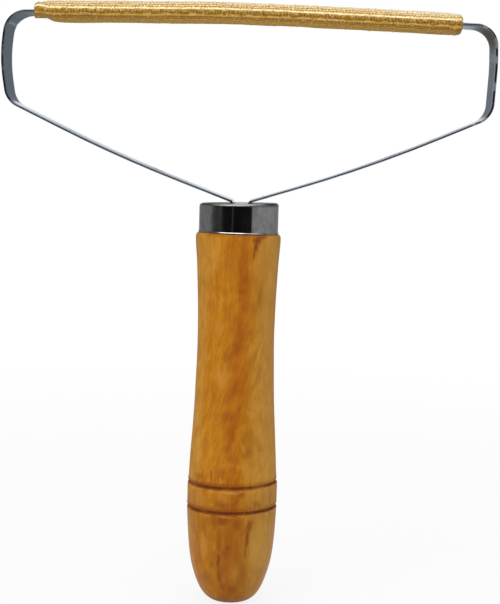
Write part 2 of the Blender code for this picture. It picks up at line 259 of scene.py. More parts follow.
def open_slot(bm, height, low, high):
    """Cuts the flat faces at that height along an (x, y) oblong and takes out what lies inside it."""
    def flat_faces():
        return [f for f in bm.faces if all(abs(v.co.z - height) < 1e-7 for v in f.verts)]
    for co, no in (((low[0], 0, 0), (1, 0, 0)), ((high[0], 0, 0), (1, 0, 0)),
                   ((0, low[1], 0), (0, 1, 0)), ((0, high[1], 0), (0, 1, 0))):
        faces = flat_faces()
        parts = dict.fromkeys(part for f in faces for part in (f, *f.edges, *f.verts))
        bmesh.ops.bisect_plane(bm, geom=list(parts), dist=1e-7, plane_co=co, plane_no=no)
    inside = [f for f in flat_faces() if low[0] < f.calc_center_median().x < high[0]
              and low[1] < f.calc_center_median().y < high[1]]
    rim = [e for f in inside for e in f.edges if sum(f in inside for f in e.link_faces) == 1]
    bmesh.ops.delete(bm, geom=inside, context="FACES")
    return rim


def grid_tube(stations, round_steps, place):
    """A grid wrapped into a tube: place(station, step) gives each point. Its UV map runs along and around."""
    bm = bmesh.new()
    bm.loops.layers.uv.new("AlongRound")
    bmesh.ops.create_grid(bm, x_segments=stations - 1, y_segments=round_steps, size=0.5, calc_uvs=True)
    for vert in bm.verts:
        station = round((vert.co.x + 0.5) * (stations - 1))
        step = round((vert.co.y + 0.5) * round_steps)
        vert.co = place(station, step % round_steps)
    bmesh.ops.remove_doubles(bm, verts=bm.verts, dist=1e-7)
    return bm


def cap_ends(bm):
    """Closes the open loops left at a tube's two ends."""
    open_edges = [edge for edge in bm.edges if edge.is_boundary]
    bmesh.ops.holes_fill(bm, edges=open_edges, sides=0)


def outline_with_grooves(handle):
    """The turned outline as (radius, height), with a V groove and its raised lips at both heights."""
    half = handle.groove_width / 2
    line = smooth_line([(radius * MM, height * MM) for height, radius in TURNED_OUTLINE], 0.45 * MM)
    points = [(radius, height) for radius, height in line
              if all(abs(height - groove * MM) > half * 1.9 for groove in GROOVES)]
    for groove in GROOVES:
        middle = groove * MM
        for k in range(GROOVE_STEPS + 1):
            offset = (k / GROOVE_STEPS * 2 - 1) * half * 1.8
            radius = next(a.x + (b.x - a.x) * (middle + offset - a.y) / (b.y - a.y)
                          for a, b in zip(line, line[1:]) if a.y <= middle + offset <= b.y)
            reach = abs(offset) / half
            sunk = handle.groove_depth * (1.0 - reach) ** 0.85 if reach < 1.0 else 0.0
            lip = 0.07 * MM * math.exp(-((reach - 1.15) / 0.22) ** 2)
            points.append((radius - sunk + lip, middle + offset))
    return sorted(points, key=lambda point: point[1])


def strip_line():
    """The strip's middle line as (x, z) points: straight runs joined by arcs that touch them."""
    corners = [(Vector((x * MM, TANG_BOTTOM if z is None else z * MM)), r * MM) for x, z, r in STRIP_CORNERS]
    points = [corners[0][0]]
    for (before, _), (corner, radius), (after, _) in zip(corners, corners[1:], corners[2:]):
        back, onward = (before - corner).normalized(), (after - corner).normalized()
        turn = math.pi - back.angle(onward)
        run = radius * math.tan(turn / 2)
        centre = corner + (back + onward).normalized() * radius / math.cos(turn / 2)
        spoke = corner + back * run - centre
        side = 1 if spoke.cross(onward) > 0 else -1
        steps = max(5, math.ceil(turn / BEND_STEP))
        start = corner + back * run
        points += filled(points[-1], start)
        for step in range(steps + 1):
            angle = side * turn * step / steps
            points.append(centre + Vector((spoke.x * math.cos(angle) - spoke.y * math.sin(angle),
                                           spoke.x * math.sin(angle) + spoke.y * math.cos(angle))))
    points += filled(points[-1], corners[-1][0]) + [corners[-1][0]]
    return points


def filled(start, end):
    """Points between two others, about a run step apart, without the two themselves."""
    count = int((end - start).length / RUN_STEP)
    return [start.lerp(end, k / (count + 1)) for k in range(1, count + 1)]


BAR_LINE = [point for point in strip_line() if point.y > BAR_LOWEST]


def bar_place(x):
    """(the point on the bar's middle line at x, the line's direction there)"""
    before, after = next((a, b) for a, b in zip(BAR_LINE, BAR_LINE[1:]) if a.x <= x <= b.x and b.x > a.x)
    return before.lerp(after, (x - before.x) / (after.x - before.x)), (after - before).normalized()


def arc(y, z, radius, start, end, steps):
    """(y, z) points on an arc from one angle to another, with the way out at each."""
    angles = [start + (end - start) * k / steps for k in range(steps + 1)]
    return [(y + radius * math.cos(a), z + radius * math.sin(a), math.cos(a), math.sin(a)) for a in angles]


def run_lengths(points):
    """How far each point lies along the line through them all."""
    at = [0.0]
    for a, b in zip(points, points[1:]):
        at.append(at[-1] + math.hypot(b[0] - a[0], b[1] - a[1]))
    return at


def section(half_width, rise, drop, nose, count):
    """(y, z) points evenly spaced round the sleeve's lens-shaped section, with the way out at each, from the back nose
    over the top. nose is the radius where it turns over the bar's edges. Also gives the section's girth and how much
    of it is above."""
    halves = []
    for height in (rise, drop):
        small = min(nose, height * 0.98)
        reach = half_width - small
        radius = (reach**2 + height**2 - small**2) / (2 * (height - small))
        lean = math.atan2(reach, radius - height)
        start, end = math.pi / 2 - lean, math.pi / 2 + lean
        halves.append(arc(reach, 0.0, small, 0.0, start, NOSE_STEPS)[:-1]
                      + arc(0.0, height - radius, radius, start, end, CROWN_STEPS)
                      + arc(-reach, 0.0, small, end, math.pi, NOSE_STEPS)[1:])
    upper = halves[0]
    lower = [(y, -z, out_y, -out_z) for y, z, out_y, out_z in reversed(halves[1])]
    ring = upper + lower[1:]
    at = run_lengths(ring)
    points, k = [], 0
    for step in range(count):
        wanted = at[-1] * step / count
        while at[k + 1] < wanted:
            k += 1
        t = (wanted - at[k]) / (at[k + 1] - at[k])
        y, z, out_y, out_z = (a + (b - a) * t for a, b in zip(ring[k], ring[k + 1]))
        length = math.hypot(out_y, out_z)
        points.append((y, z, out_y / length, out_z / length))
    return points, at[-1], run_lengths(upper)[-1]


def end_shape(sleeve, x):
    """The sleeve's rise and drop at x, which are less near its two mouths."""
    left, right = SLEEVE_LOW.x, SLEEVE_HIGH.x
    inwards = (x - left) / MM
    rise, drop = sleeve.rise / MM, sleeve.drop / MM
    for (a, rise_a, drop_a), (b, rise_b, drop_b) in zip(LEFT_END, LEFT_END[1:]):
        if inwards < b:
            t = max(0.0, (inwards - a) / (b - a))
            rise, drop = rise_a + (rise_b - rise_a) * t, drop_a + (drop_b - drop_a) * t
            break
    held = clamped((right - x) / (RIGHT_ROUNDING * MM))
    opened = math.sqrt(1.0 - (1.0 - held) ** 2)
    return tuple((RIGHT_MOUTH + (height - RIGHT_MOUTH) * opened) * MM for height in (rise, drop))


def knit_height(sleeve, along, around):
    """How far the mesh stands out at a place: V stitches in rows along the bar, pulled about a little."""
    drift = 0.35 * wobble(along / MM * 0.22, around * 3.0, 1.7)
    wale = around * sleeve.wales + 0.16 * wobble(along / MM * 0.35, around * 8.0, 4.1)
    across = wale - math.floor(wale)
    lean = abs(2.0 * across - 1.0)
    loop = 0.5 + 0.5 * math.cos(math.tau * (along / sleeve.stitch + 0.42 * lean + drift))
    ridge = math.sqrt(max(0.0, math.sin(math.pi * across)))
    tension = 0.75 + 0.5 * wobble(along / MM * 0.9, wale * 0.8, 9.2)
    return sleeve.stitch_rise * (ridge * (0.35 + 0.65 * loop) * tension - 0.5)


# Materials

ORIGIN = (0.0, 0.0, 0.0)


class Value:
    """What a node gives. Arithmetic with it adds math nodes, and a colour can be painted over."""

    def __init__(self, nodes, socket):
        self.nodes, self.socket = nodes, socket

    def __add__(self, other):
        return self.nodes.math("ADD", self, other)

    def __sub__(self, other):
        return self.nodes.math("SUBTRACT", self, other)

    def __rsub__(self, other):
        return self.nodes.math("SUBTRACT", other, self)

    def __mul__(self, other):
        return self.nodes.math("MULTIPLY", self, other)

    def __truediv__(self, other):
        return self.nodes.math("DIVIDE", self, other)

    def __abs__(self):
        return self.nodes.math("ABSOLUTE", self)

    def most(self, other):
        return self.nodes.math("MAXIMUM", self, other)

    def fit(self, low, high, to_low=0.0, to_high=1.0, kind="LINEAR"):
        """Low to high becomes to_low to to_high, and holds past both ends."""
        return self.nodes.take("Result", "ShaderNodeMapRange", {
            "Value": self, "From Min": low, "From Max": high, "To Min": to_low, "To Max": to_high},
            interpolation_type=kind)

    def ease(self, low, high, to_low=0.0, to_high=1.0):
        """As fit, with a gentle start and stop."""
        return self.fit(low, high, to_low, to_high, "SMOOTHSTEP")

    def near(self, middle, none, full):
        """0 at one distance from the middle and 1 at a smaller one."""
        return abs(self - middle).ease(none, full)

    def tinted(self, tint, amount):
        return self.nodes.blend(amount, self, tint)

    def shaded(self, tint, amount):
        return self.nodes.blend(amount, self, tint, "MULTIPLY")


class Nodes:
    """A node tree with short ways to add nodes, set their sockets and link them."""

    def __init__(self, tree):
        self.tree = tree
        self.column = 0

    def add(self, kind, inputs=None, **settings):
        node = self.tree.nodes.new(kind)
        node.location = (-1400 + 180 * (self.column % 9), 600 - 220 * (self.column // 9))
        self.column += 1
        for key, value in settings.items():
            setattr(node, key, value)
        for key, value in (inputs or {}).items():
            self.put(node.inputs[key], value)
        return node

    def put(self, socket, value):
        if isinstance(value, Value):
            self.tree.links.new(value.socket, socket)
        else:
            socket.default_value = (*value, 1.0)[:4] if socket.type == "RGBA" else value

    def take(self, output, kind, inputs=None, **settings):
        return Value(self, self.add(kind, inputs, **settings).outputs[output])

    def named(self, node):
        return {output.name: Value(self, output) for output in node.outputs}

    def math(self, operation, a, b=0.0, clamp=False):
        return self.take(0, "ShaderNodeMath", {0: a, 1: b}, operation=operation, use_clamp=clamp)

    def vector(self, operation, a, b=ORIGIN):
        return self.take("Vector", "ShaderNodeVectorMath", {0: a, 1: b}, operation=operation)

    def length(self, where):
        return self.take("Value", "ShaderNodeVectorMath", {0: where}, operation="LENGTH")

    def axes(self, where):
        return [Value(self, output) for output in self.add("ShaderNodeSeparateXYZ", {0: where}).outputs]

    def joined(self, x, y=0.0, z=0.0):
        return self.take(0, "ShaderNodeCombineXYZ", {0: x, 1: y, 2: z})

    def millimetres(self):
        """Object coordinates in millimetres."""
        where = self.take("Object", "ShaderNodeTexCoord")
        return self.take("Vector", "ShaderNodeVectorMath", {0: where, "Scale": 1000.0}, operation="SCALE")

    def blend(self, amount, a, b, kind="MIX"):
        return self.take(2, "ShaderNodeMix", {0: amount, 6: a, 7: b}, data_type="RGBA", blend_type=kind)

    def ramp(self, value, stops):
        node = self.add("ShaderNodeValToRGB", {0: value})
        elements = node.color_ramp.elements
        while len(elements) < len(stops):
            elements.new(0.5)
        for element, (position, tint) in zip(elements, stops):
            element.position, element.color = position, (*tint, 1.0)
        return Value(self, node.outputs["Color"])

    def noise(self, where, scale, detail=2.0, roughness=0.5, distortion=0.0, shift=ORIGIN):
        """Noise at one scale, or stretched by one for each axis."""
        if isinstance(scale, tuple):
            where = self.take("Vector", "ShaderNodeMapping", {"Vector": where, "Location": shift, "Scale": scale})
            scale = 1.0
        return self.take("Fac", "ShaderNodeTexNoise", {"Vector": where, "Scale": scale, "Detail": detail,
                                                       "Roughness": roughness, "Distortion": distortion})

    def group(self, name, **inputs):
        inputs = {key.replace("_", " "): value for key, value in inputs.items()}
        return self.named(self.add("ShaderNodeGroup", inputs, node_tree=bpy.data.node_groups[name]))

    def mark(self, place, middle, reach, ragged, lean=0.0):
        return self.group("Soft Mark", Place=place, Middle=middle, Reach=reach, Lean=lean, Ragged=ragged)["Mask"]

    def close(self, **results):
        self.add("NodeGroupOutput", results)


class Surface(Nodes):
    """A material's nodes, with the constant settings put in its Principled shader."""

    def __init__(self, name, **settings):
        self.material = bpy.data.materials.new(name)
        self.material.use_nodes = True
        super().__init__(self.material.node_tree)
        self.shader = self.tree.nodes["Principled BSDF"]
        self.set(**settings)

    def set(self, **inputs):
        for key, value in inputs.items():
            self.put(self.shader.inputs[key.replace("_", " ")], value)
        return self.material

    def bump(self, strength, distance, height):
        self.set(Normal=self.take("Normal", "ShaderNodeBump",
                                  {"Strength": strength, "Distance": distance, "Height": height}))

    def glow(self, tint):
        return self.take(0, "ShaderNodeEmission", {"Color": tint, "Strength": 1.0})

    def mixed(self, amount, a, b):
        return self.take(0, "ShaderNodeMixShader", {0: amount, 1: a, 2: b})

    def show(self, result, alone=True):
        """Shows another shader, alone or one that holds the Principled one."""
        if alone:
            self.tree.nodes.remove(self.shader)
        self.put(self.tree.nodes["Material Output"].inputs["Surface"], result)
        return self.material


def new_group(name, inputs, outputs):
    """An effect that several materials place with their own values. A tuple is a vector input's default. Returns
    (nodes, inputs by name)."""
    tree = bpy.data.node_groups.new(name, "ShaderNodeTree")
    for label, default in inputs.items():
        kind = "NodeSocketVector" if isinstance(default, tuple) else "NodeSocketFloat"
        tree.interface.new_socket(name=label, in_out="INPUT", socket_type=kind).default_value = default
    for label in outputs:
        tree.interface.new_socket(name=label, in_out="OUTPUT", socket_type="NodeSocketFloat")
    nodes = Nodes(tree)
    return nodes, nodes.named(nodes.add("NodeGroupInput"))


def wood_figure_group():
    """Mottling, long fibres and pores that run along Z. Places are in millimetres."""
    nodes, given = new_group("Wood Figure", {"Place": ORIGIN, "Seed": 0.0}, ("Mottle", "Fibre", "Pores"))
    place = nodes.vector("ADD", given["Place"], nodes.joined(given["Seed"], given["Seed"], given["Seed"]))
    nodes.close(Mottle=nodes.noise(place, (0.42, 0.42, 0.2), 3.0, 0.55, 0.35),
                Fibre=nodes.noise(place, (3.4, 3.4, 0.13), 3.0, 0.6, 0.12),
                Pores=nodes.noise(place, (7.5, 7.5, 0.55), 1.0, 0.5).ease(0.62, 0.72))


def mark_group():
    """1 at a point and 0 past its reach, turned about Y, with a ragged edge. Places and reaches are in millimetres."""
    nodes, given = new_group("Soft Mark", {"Place": ORIGIN, "Middle": ORIGIN, "Reach": (1.0, 1.0, 1.0), "Lean": 0.0,
                                           "Ragged": 0.5}, ("Mask",))
    away = nodes.vector("SUBTRACT", given["Place"], given["Middle"])
    turned_back = nodes.take("Vector", "ShaderNodeVectorRotate", {"Vector": away, "Angle": given["Lean"]},
                             rotation_type="Y_AXIS")
    edge = nodes.noise(given["Place"], (1.9, 1.9, 0.6), 3.0, 0.6)
    far = nodes.length(nodes.vector("DIVIDE", turned_back, given["Reach"])) + (edge - 0.5) * given["Ragged"]
    nodes.close(Mask=far.ease(1.0, 0.2))


def metal_wear_group():
    """Hair-fine scratches and smudges for bright metal. Places are in millimetres."""
    nodes, given = new_group("Metal Wear", {"Place": ORIGIN, "Scratch Scale": (1.0, 1.0, 1.0), "Smudge Scale": 0.3},
                             ("Scratches", "Smudges"))
    lines = nodes.noise(nodes.vector("MULTIPLY", given["Place"], given["Scratch Scale"]), 1.0, 4.0, 0.65)
    smudges = nodes.noise(given["Place"], given["Smudge Scale"], 3.0, 0.55, 0.4)
    nodes.close(Scratches=lines.fit(0.45, 0.75), Smudges=smudges.fit(0.35, 0.7))


def fine_knit_group():
    """Rows of small leaning stitches on a flat (along, around) place in millimetres."""
    nodes, given = new_group("Fine Knit", {"Place": ORIGIN, "Stitch": 0.5, "Row": 0.4, "Uneven": 0.3}, ("Height",))
    along, around, _ = nodes.axes(given["Place"])
    pulled = (nodes.noise(given["Place"], (0.45, 0.9, 1.0), 2.0, 0.6) - 0.5) * given["Uneven"]
    rows = around / given["Row"] + pulled * 1.4
    row = nodes.math("FLOOR", rows)
    across = rows - row
    stitches = along / given["Stitch"] + row * 0.37 + (abs(across - 0.5) * 0.9 + pulled * 3.0)
    loop = nodes.math("COSINE", stitches * math.tau).fit(-1.0, 1.0)
    nodes.close(Height=nodes.math("SINE", across * math.pi) * loop.fit(0.0, 1.0, 0.35, 1.0))


# Marks in the front of the handle's wood, in millimetres: (x, z, half width, half height, degrees that it leans to
# the right, strength).
DARK_MARKS = (
    (6.2, 105.2, 1.9, 0.7, 0, 0.9), (5.6, 104.3, 1.25, 1.3, 16, 1), (5.2, 102.6, 0.7, 1.9, 12, 0.95),
    # The three thin dark marks at 105.2 and 105.4 mm, right under the ferrule's rim, are painted shadow; the other dark
    # marks are stains in the figure.
    (4.85, 100.9, 0.4, 2, 8, 0.75), (-5, 105.4, 5, 0.35, 0, 0.45), (1, 105.4, 4, 0.4, 0, 0.5),
    (1.8, 98, 0.9, 8, 2, 0.25), (2.2, 93.6, 0.9, 1.9, 10, 0.4), (1.9, 90.2, 1.2, 1, 0, 0.35), (1.6, 84, 1, 6, 4, 0.22),
    (6.6, 88.4, 0.6, 3.6, 3, 0.25), (1.6, 77.2, 0.7, 3, 8, 0.4), (0.4, 74.6, 1.4, 2.2, 24, 0.5),
    (-2.2, 72, 1.3, 1.7, 20, 0.42), (-3.4, 68, 0.6, 2, 6, 0.4), (0.6, 63, 1.1, 2.6, 24, 0.42),
    (-1.4, 60.6, 1.3, 1.6, 20, 0.3), (-1.6, 55.2, 2.2, 1.7, 10, 0.42), (1.7, 57.5, 0.6, 1.6, 8, 0.42),
    (0.5, 52.6, 0.7, 1.4, 10, 0.4), (-0.4, 49.6, 0.9, 3, 14, 0.4), (-1.4, 46.4, 1.2, 1.5, 10, 0.4),
    (0.9, 43.2, 1.7, 1.6, 0, 0.45), (0.2, 40.4, 1.5, 1.3, 0, 0.4), (-2.6, 39.6, 2.4, 1.6, 0, 0.3),
    (-9.3, 37.6, 1.8, 1.1, 0, 0.5), (-5.6, 38.6, 0.3, 1.9, 0, 0.75), (-3.7, 38, 0.25, 1.4, 0, 0.45),
    (-2.3, 38.6, 0.3, 1.9, 0, 0.75), (-0.9, 37.4, 0.3, 1.4, 0, 0.4), (2.9, 33.4, 0.9, 0.9, 24, 0.6),
    (1.7, 31.4, 0.5, 1.6, 34, 0.45), (-2.6, 30.6, 2, 1.1, 0, 0.5), (7.4, 30.4, 1.6, 0.9, 40, 0.5),
    (11, 32, 0.7, 3.6, 0, 0.45), (-2.2, 26, 1.6, 1.5, 0, 0.7), (-4.4, 25.4, 1, 2.2, 0, 0.5),
    (2.3, 25, 1.6, 1.6, 20, 0.4), (5.5, 24.4, 0.9, 1.9, 14, 0.75), (4.9, 20.6, 0.5, 3.4, 4, 0.8),
    (4.5, 17, 0.4, 2.4, 2, 0.5), (-0.5, 18.2, 0.9, 1, 40, 0.6), (-0.9, 16.9, 1.6, 1.6, 30, 0.3),
    (-2.9, 19.6, 0.7, 3.4, 0, 0.35), (-3, 14.4, 0.65, 2.6, 2, 0.8), (-2.7, 10, 0.6, 3, -4, 0.65),
    (-1.8, 6.2, 0.8, 1.8, -24, 0.5), (1.2, 5.6, 1.6, 1.2, 0, 0.5), (-5, 12.6, 0.6, 1.8, 10, 0.3),
    (3.6, 11.4, 0.8, 2.4, 6, 0.3),
)
OLIVE_MARKS = (
    (5.2, 71, 0.9, 3, 20, 0.4), (6.6, 66.5, 1.3, 3.2, 22, 0.4), (4, 49.6, 1.6, 2.4, 24, 0.5),
    (5, 45.2, 1.5, 1.8, 10, 0.5), (3, 44.4, 1.2, 1.5, -20, 0.4), (8, 46, 1.2, 1.2, 0, 0.4),
    (-6.9, 8.4, 1.6, 2.6, 0, 0.35), (8.6, 10.4, 1.3, 1.5, 0, 0.4), (-5.6, 61, 0.35, 0.6, 0, 0.7),
    (-7, 46, 0.8, 2, 16, 0.3), (-9.2, 88, 0.6, 10, 0, 0.2), (7.2, 90, 1.4, 8, 2, 0.25),
)
PALE_MARKS = (
    (7.1, 73.6, 0.5, 3.2, 18, 0.55), (8.7, 69.4, 0.7, 3.6, 18, 0.45), (5.9, 66.6, 0.5, 2.6, 20, 0.45),
    (4.4, 74, 0.6, 2.6, 18, 0.35), (6.3, 58.2, 1.8, 2.2, 20, 0.4), (5.3, 55.8, 1.6, 1.4, 16, 0.4),
    (7.8, 51.6, 0.9, 2, 20, 0.4), (3, 46.8, 0.5, 1.6, -24, 0.3), (-3.2, 66.5, 2.4, 3.2, 14, 0.28),
    (-9.6, 47, 1.3, 6, 4, 0.4), (-8.9, 66, 1, 8, 2, 0.34), (-4.6, 79.6, 1.6, 2.4, 10, 0.3), (4.9, 39, 1.8, 2, 0, 0.3),
    (-1.6, 32.2, 1.7, 1.4, 30, 0.35), (5.6, 32.4, 1.8, 1.7, 24, 0.3), (-8.6, 31.4, 2, 2.4, 0, 0.35),
    (-7.3, 18.6, 1.3, 3.6, 0, 0.4), (1.4, 11, 1.7, 2.8, 0, 0.32), (0, 33.9, 2.3, 0.5, 0, 0.5),
    (-5.2, 34, 1, 0.45, 0, 0.45), (-5.2, 30.3, 0.7, 0.4, 0, 0.45), (-6, 100, 1.8, 4, 0, 0.3),
    (6.9, 97.6, 1.3, 5, 4, 0.28),
)
# The marks' middles lie this far to the front. They reach this deep, and fade out at this many times their sizes.
MARK_FRONT, MARK_DEPTH, MARK_SPREAD = -11.6, 9.0, 1.45
# Between these heights the fibres lean to the right, by this much a millimetre.
LEAN_LOW, LEAN_HIGH, LEAN = 38.0, 80.0, 0.3


def marks(nodes, place, wood, spots, tint, ragged):
    """Blends one kind of mark into the wood, each with a ragged edge that follows the fibres."""
    shown = 0.0
    for x, z, half_width, half_height, lean, strength in spots:
        mask = nodes.mark(place, (x, MARK_FRONT, z), (half_width * MARK_SPREAD, MARK_DEPTH, half_height * MARK_SPREAD),
                          ragged, math.radians(-lean))
        shown = (mask * strength).most(shown)
    return wood.tinted(tint, shown)


def handle_wood(settings):
    """Varnished, mottled orange-brown wood with scorched grooves."""
    nodes = Surface("Handle wood", Coat_Weight=0.02, Coat_Roughness=0.3, Specular_IOR_Level=0.18)
    place = nodes.millimetres()
    x, _, z = nodes.axes(place)
    leaning = (nodes.math("MINIMUM", z.most(LEAN_LOW), LEAN_HIGH) - LEAN_HIGH) * LEAN
    fibres = nodes.vector("SUBTRACT", place, nodes.joined(leaning))
    figure = nodes.group("Wood Figure", Place=fibres)
    mottle, fibre, pores = figure["Mottle"], figure["Fibre"], figure["Pores"]
    # Growth layers stand across the handle, and wander as they go up it.
    wander = (nodes.noise(place, (0.1, 0.12, 0.03), 2.0, 0.5) - 0.5) * 5.0
    layer = x + wander - (z - 58.0) * 0.036
    pale, amber, heart = settings.pale_wood, settings.amber_wood, settings.heart_wood
    wood = nodes.ramp(layer.fit(-13.0, 13.0), [
        (0.0, pale), (0.1, pale), (0.22, amber), (0.4, amber), (0.5, heart), (0.58, heart), (0.67, amber), (0.82, pale),
        (1.0, pale)])
    bands = nodes.noise(fibres, (1.1, 1.1, 0.035), 2.0, 0.55)
    wood = wood.shaded(srgb(232, 206, 176), bands.ease(0.4, 0.64, 0.4, 0.0))
    wood = wood.shaded(srgb(228, 204, 160), mottle.fit(0.36, 0.56, 0.55, 0.0))
    wood = wood.tinted(srgb(212, 154, 66), mottle.fit(0.54, 0.74, 0.0, 0.3))
    wood = wood.shaded(srgb(218, 196, 160), fibre.fit(0.35, 0.62, 0.38, 0.0))
    wood = wood.tinted(srgb(122, 70, 16), pores * 0.35)
    wood = wood.tinted(srgb(208, 154, 66), x.fit(3.0, 10.0, 0.0, 0.35))
    # A brown column down the middle of the butt, with a pale patch beside it.
    column = nodes.mark(place, (0.5, -11.0, 14.0), (6.4, 9.0, 22.0), 0.5)
    wood = wood.tinted(srgb(158, 94, 6), column * 0.42)
    patch = nodes.mark(place, (8.2, -9.2, 17.5), (5.4, 9.0, 12.5), 0.4)
    beside = (x + nodes.noise(fibres, 0.5, 2.0, 0.5) * 1.4).ease(5.9, 6.7) * patch
    wood = wood.tinted(nodes.blend(mottle, srgb(186, 138, 52), srgb(214, 168, 76)), beside * 0.85)
    for spots, tint, ragged in ((DARK_MARKS, settings.stain, 1.3), (OLIVE_MARKS, srgb(146, 92, 14), 1.1),
                                (PALE_MARKS, srgb(206, 150, 62), 1.1)):
        wood = marks(nodes, place, wood, spots, tint, ragged)
    # The rounded bottom is darker, and the whole butt end is a little darker than the grip.
    wood = wood.tinted(srgb(112, 68, 16), (z + mottle * 3.0).fit(4.6, 1.4) * 0.6)
    wood = wood.shaded(srgb(232, 224, 196), z.ease(37.0, 30.0, 0.0, 0.75))
    # Scorched grooves, each with a brown halo that spreads up the fibres.
    tilted = z - x * GROOVE_TILT
    ragged = (nodes.noise(place, (1.6, 1.6, 0.5), 3.0, 0.65) - 0.5) * 2.6
    patchy = nodes.noise(place, 0.28, 2.0, 0.6).fit(0.4, 0.6, 0.45, 1.0)
    chips = nodes.noise(place, (0.75, 0.75, 1.5), 2.0, 0.6).ease(0.5, 0.58)
    char, halo, lip = 0.0, 0.0, 0.0
    for groove in GROOVES:
        off = tilted - groove
        char = (abs(off) + ragged * 0.3).ease(0.72, 0.2).most(char)
        halo = abs(off - 0.45 + ragged).ease(1.35, 0.3).most(halo)
        lip = abs(off + 0.95).ease(0.5, 0.15).most(lip)
    wood = wood.tinted(srgb(138, 68, 4), halo * x.fit(-2.0, 5.0, 0.85, 0.5))
    wood = wood.tinted(srgb(208, 148, 74), lip * chips * 0.45)
    wood = wood.tinted(settings.burnt, char * patchy)
    nodes.bump(0.3, 0.0001, fibre * 0.35 - pores * 0.5)
    rough = nodes.math("ADD", fibre.fit(0.3, 0.7, 0.52, 0.42), char * 0.3, clamp=True)
    return nodes.set(Base_Color=wood, Roughness=rough)


def wedge_wood():
    """Pale, unvarnished wood, planed."""
    nodes = Surface("Wedge wood", Specular_IOR_Level=0.35)
    figure = nodes.group("Wood Figure", Place=nodes.millimetres(), Seed=37.0)
    fibre = figure["Fibre"]
    tint = nodes.blend(figure["Mottle"].fit(0.35, 0.65), srgb(196, 158, 108), srgb(216, 184, 136))
    tint = tint.tinted(srgb(168, 126, 76), fibre.fit(0.35, 0.65, 0.6, 0.0))
    tint = tint.tinted(srgb(120, 84, 46), figure["Pores"] * 0.5)
    nodes.bump(0.5, 0.0001, fibre)
    return nodes.set(Base_Color=tint, Roughness=fibre.fit(0.3, 0.7, 0.8, 0.65))


def ferrule_chrome(settings):
    """Bright plate with hair scratches round it, clouds and a few smudges."""
    nodes = Surface("Ferrule chrome", Metallic=1.0)
    place = nodes.millimetres()
    wear = nodes.group("Metal Wear", Place=place, Scratch_Scale=(0.9, 0.9, 9.0), Smudge_Scale=0.4)
    tint = nodes.blend(wear["Smudges"] * 0.3, settings.chrome, srgb(190, 187, 186))
    clouds = nodes.noise(place, (0.5, 0.5, 0.3), 3.0, 0.6, 0.6)
    tint = tint.tinted(srgb(176, 170, 158), clouds.fit(0.36, 0.5, 0.6, 0.0))
    tint = tint.tinted(srgb(222, 224, 224), clouds.fit(0.52, 0.66, 0.0, 0.6))
    # The softened top edge is worn dull.
    worn = nodes.axes(place)[2].ease(FERRULE_TOP / MM - 1.0, FERRULE_TOP / MM - 0.4)
    tint = tint.tinted(srgb(142, 142, 140), worn * 0.85)
    return nodes.set(Base_Color=tint, Roughness=clouds.fit(0.35, 0.65, 0.035, 0.06) + worn * 0.3)


def strip_steel(settings):
    """Bright rolled strip with fine draw lines along it."""
    nodes = Surface("Strip steel", Metallic=1.0, Specular_Tint=(0.78, 0.85, 0.92))
    place = nodes.millimetres()
    x, y, _ = nodes.axes(place)
    wear = nodes.group("Metal Wear", Place=place, Scratch_Scale=(0.25, 8.0, 0.25), Smudge_Scale=0.18)
    scratches, smudges = wear["Scratches"], wear["Smudges"]
    tint = nodes.blend(smudges * 0.4, settings.steel, srgb(126, 135, 144))
    tint = tint.tinted(srgb(158, 166, 174), scratches * 0.25)
    # A brownish stain on the upper right bend, away from the strip's edges.
    half_width = settings.width / MM / 2
    edge = abs(y).fit(half_width - 0.4, half_width - 0.15)
    stain = nodes.mark(place, (68.6, 0.0, 162.0), (7.0, 16.0, 8.5), 0.5) * (0.95 - edge * 0.85)
    tint = tint.tinted(srgb(80, 60, 26), stain)
    # The sheared edges of the head's two short sides are rougher in dashes, and their colour is lightened there as a
    # painted highlight.
    edge = edge * x.fit(61.5, 64.0).most(x.fit(-61.5, -64.0, 0.0, 0.4))
    dash = nodes.noise(place, (0.3, 0.25, 0.42), 2.0, 0.6, shift=(2.0, 0.0, 5.0))
    bright = edge * dash.ease(0.51, 0.58, 0.0, 0.8)
    tint = tint.tinted(srgb(180, 184, 190), bright)
    dull = stain.most(bright * 0.5)
    nodes.bump(0.04, 0.00001, scratches)
    return nodes.set(Base_Color=tint, Metallic=dull.fit(0.0, 1.0, 1.0, 0.15),
                     Roughness=smudges.fit(0.0, 1.0, 0.09, 0.14) + scratches * 0.03 + dull * 0.4)


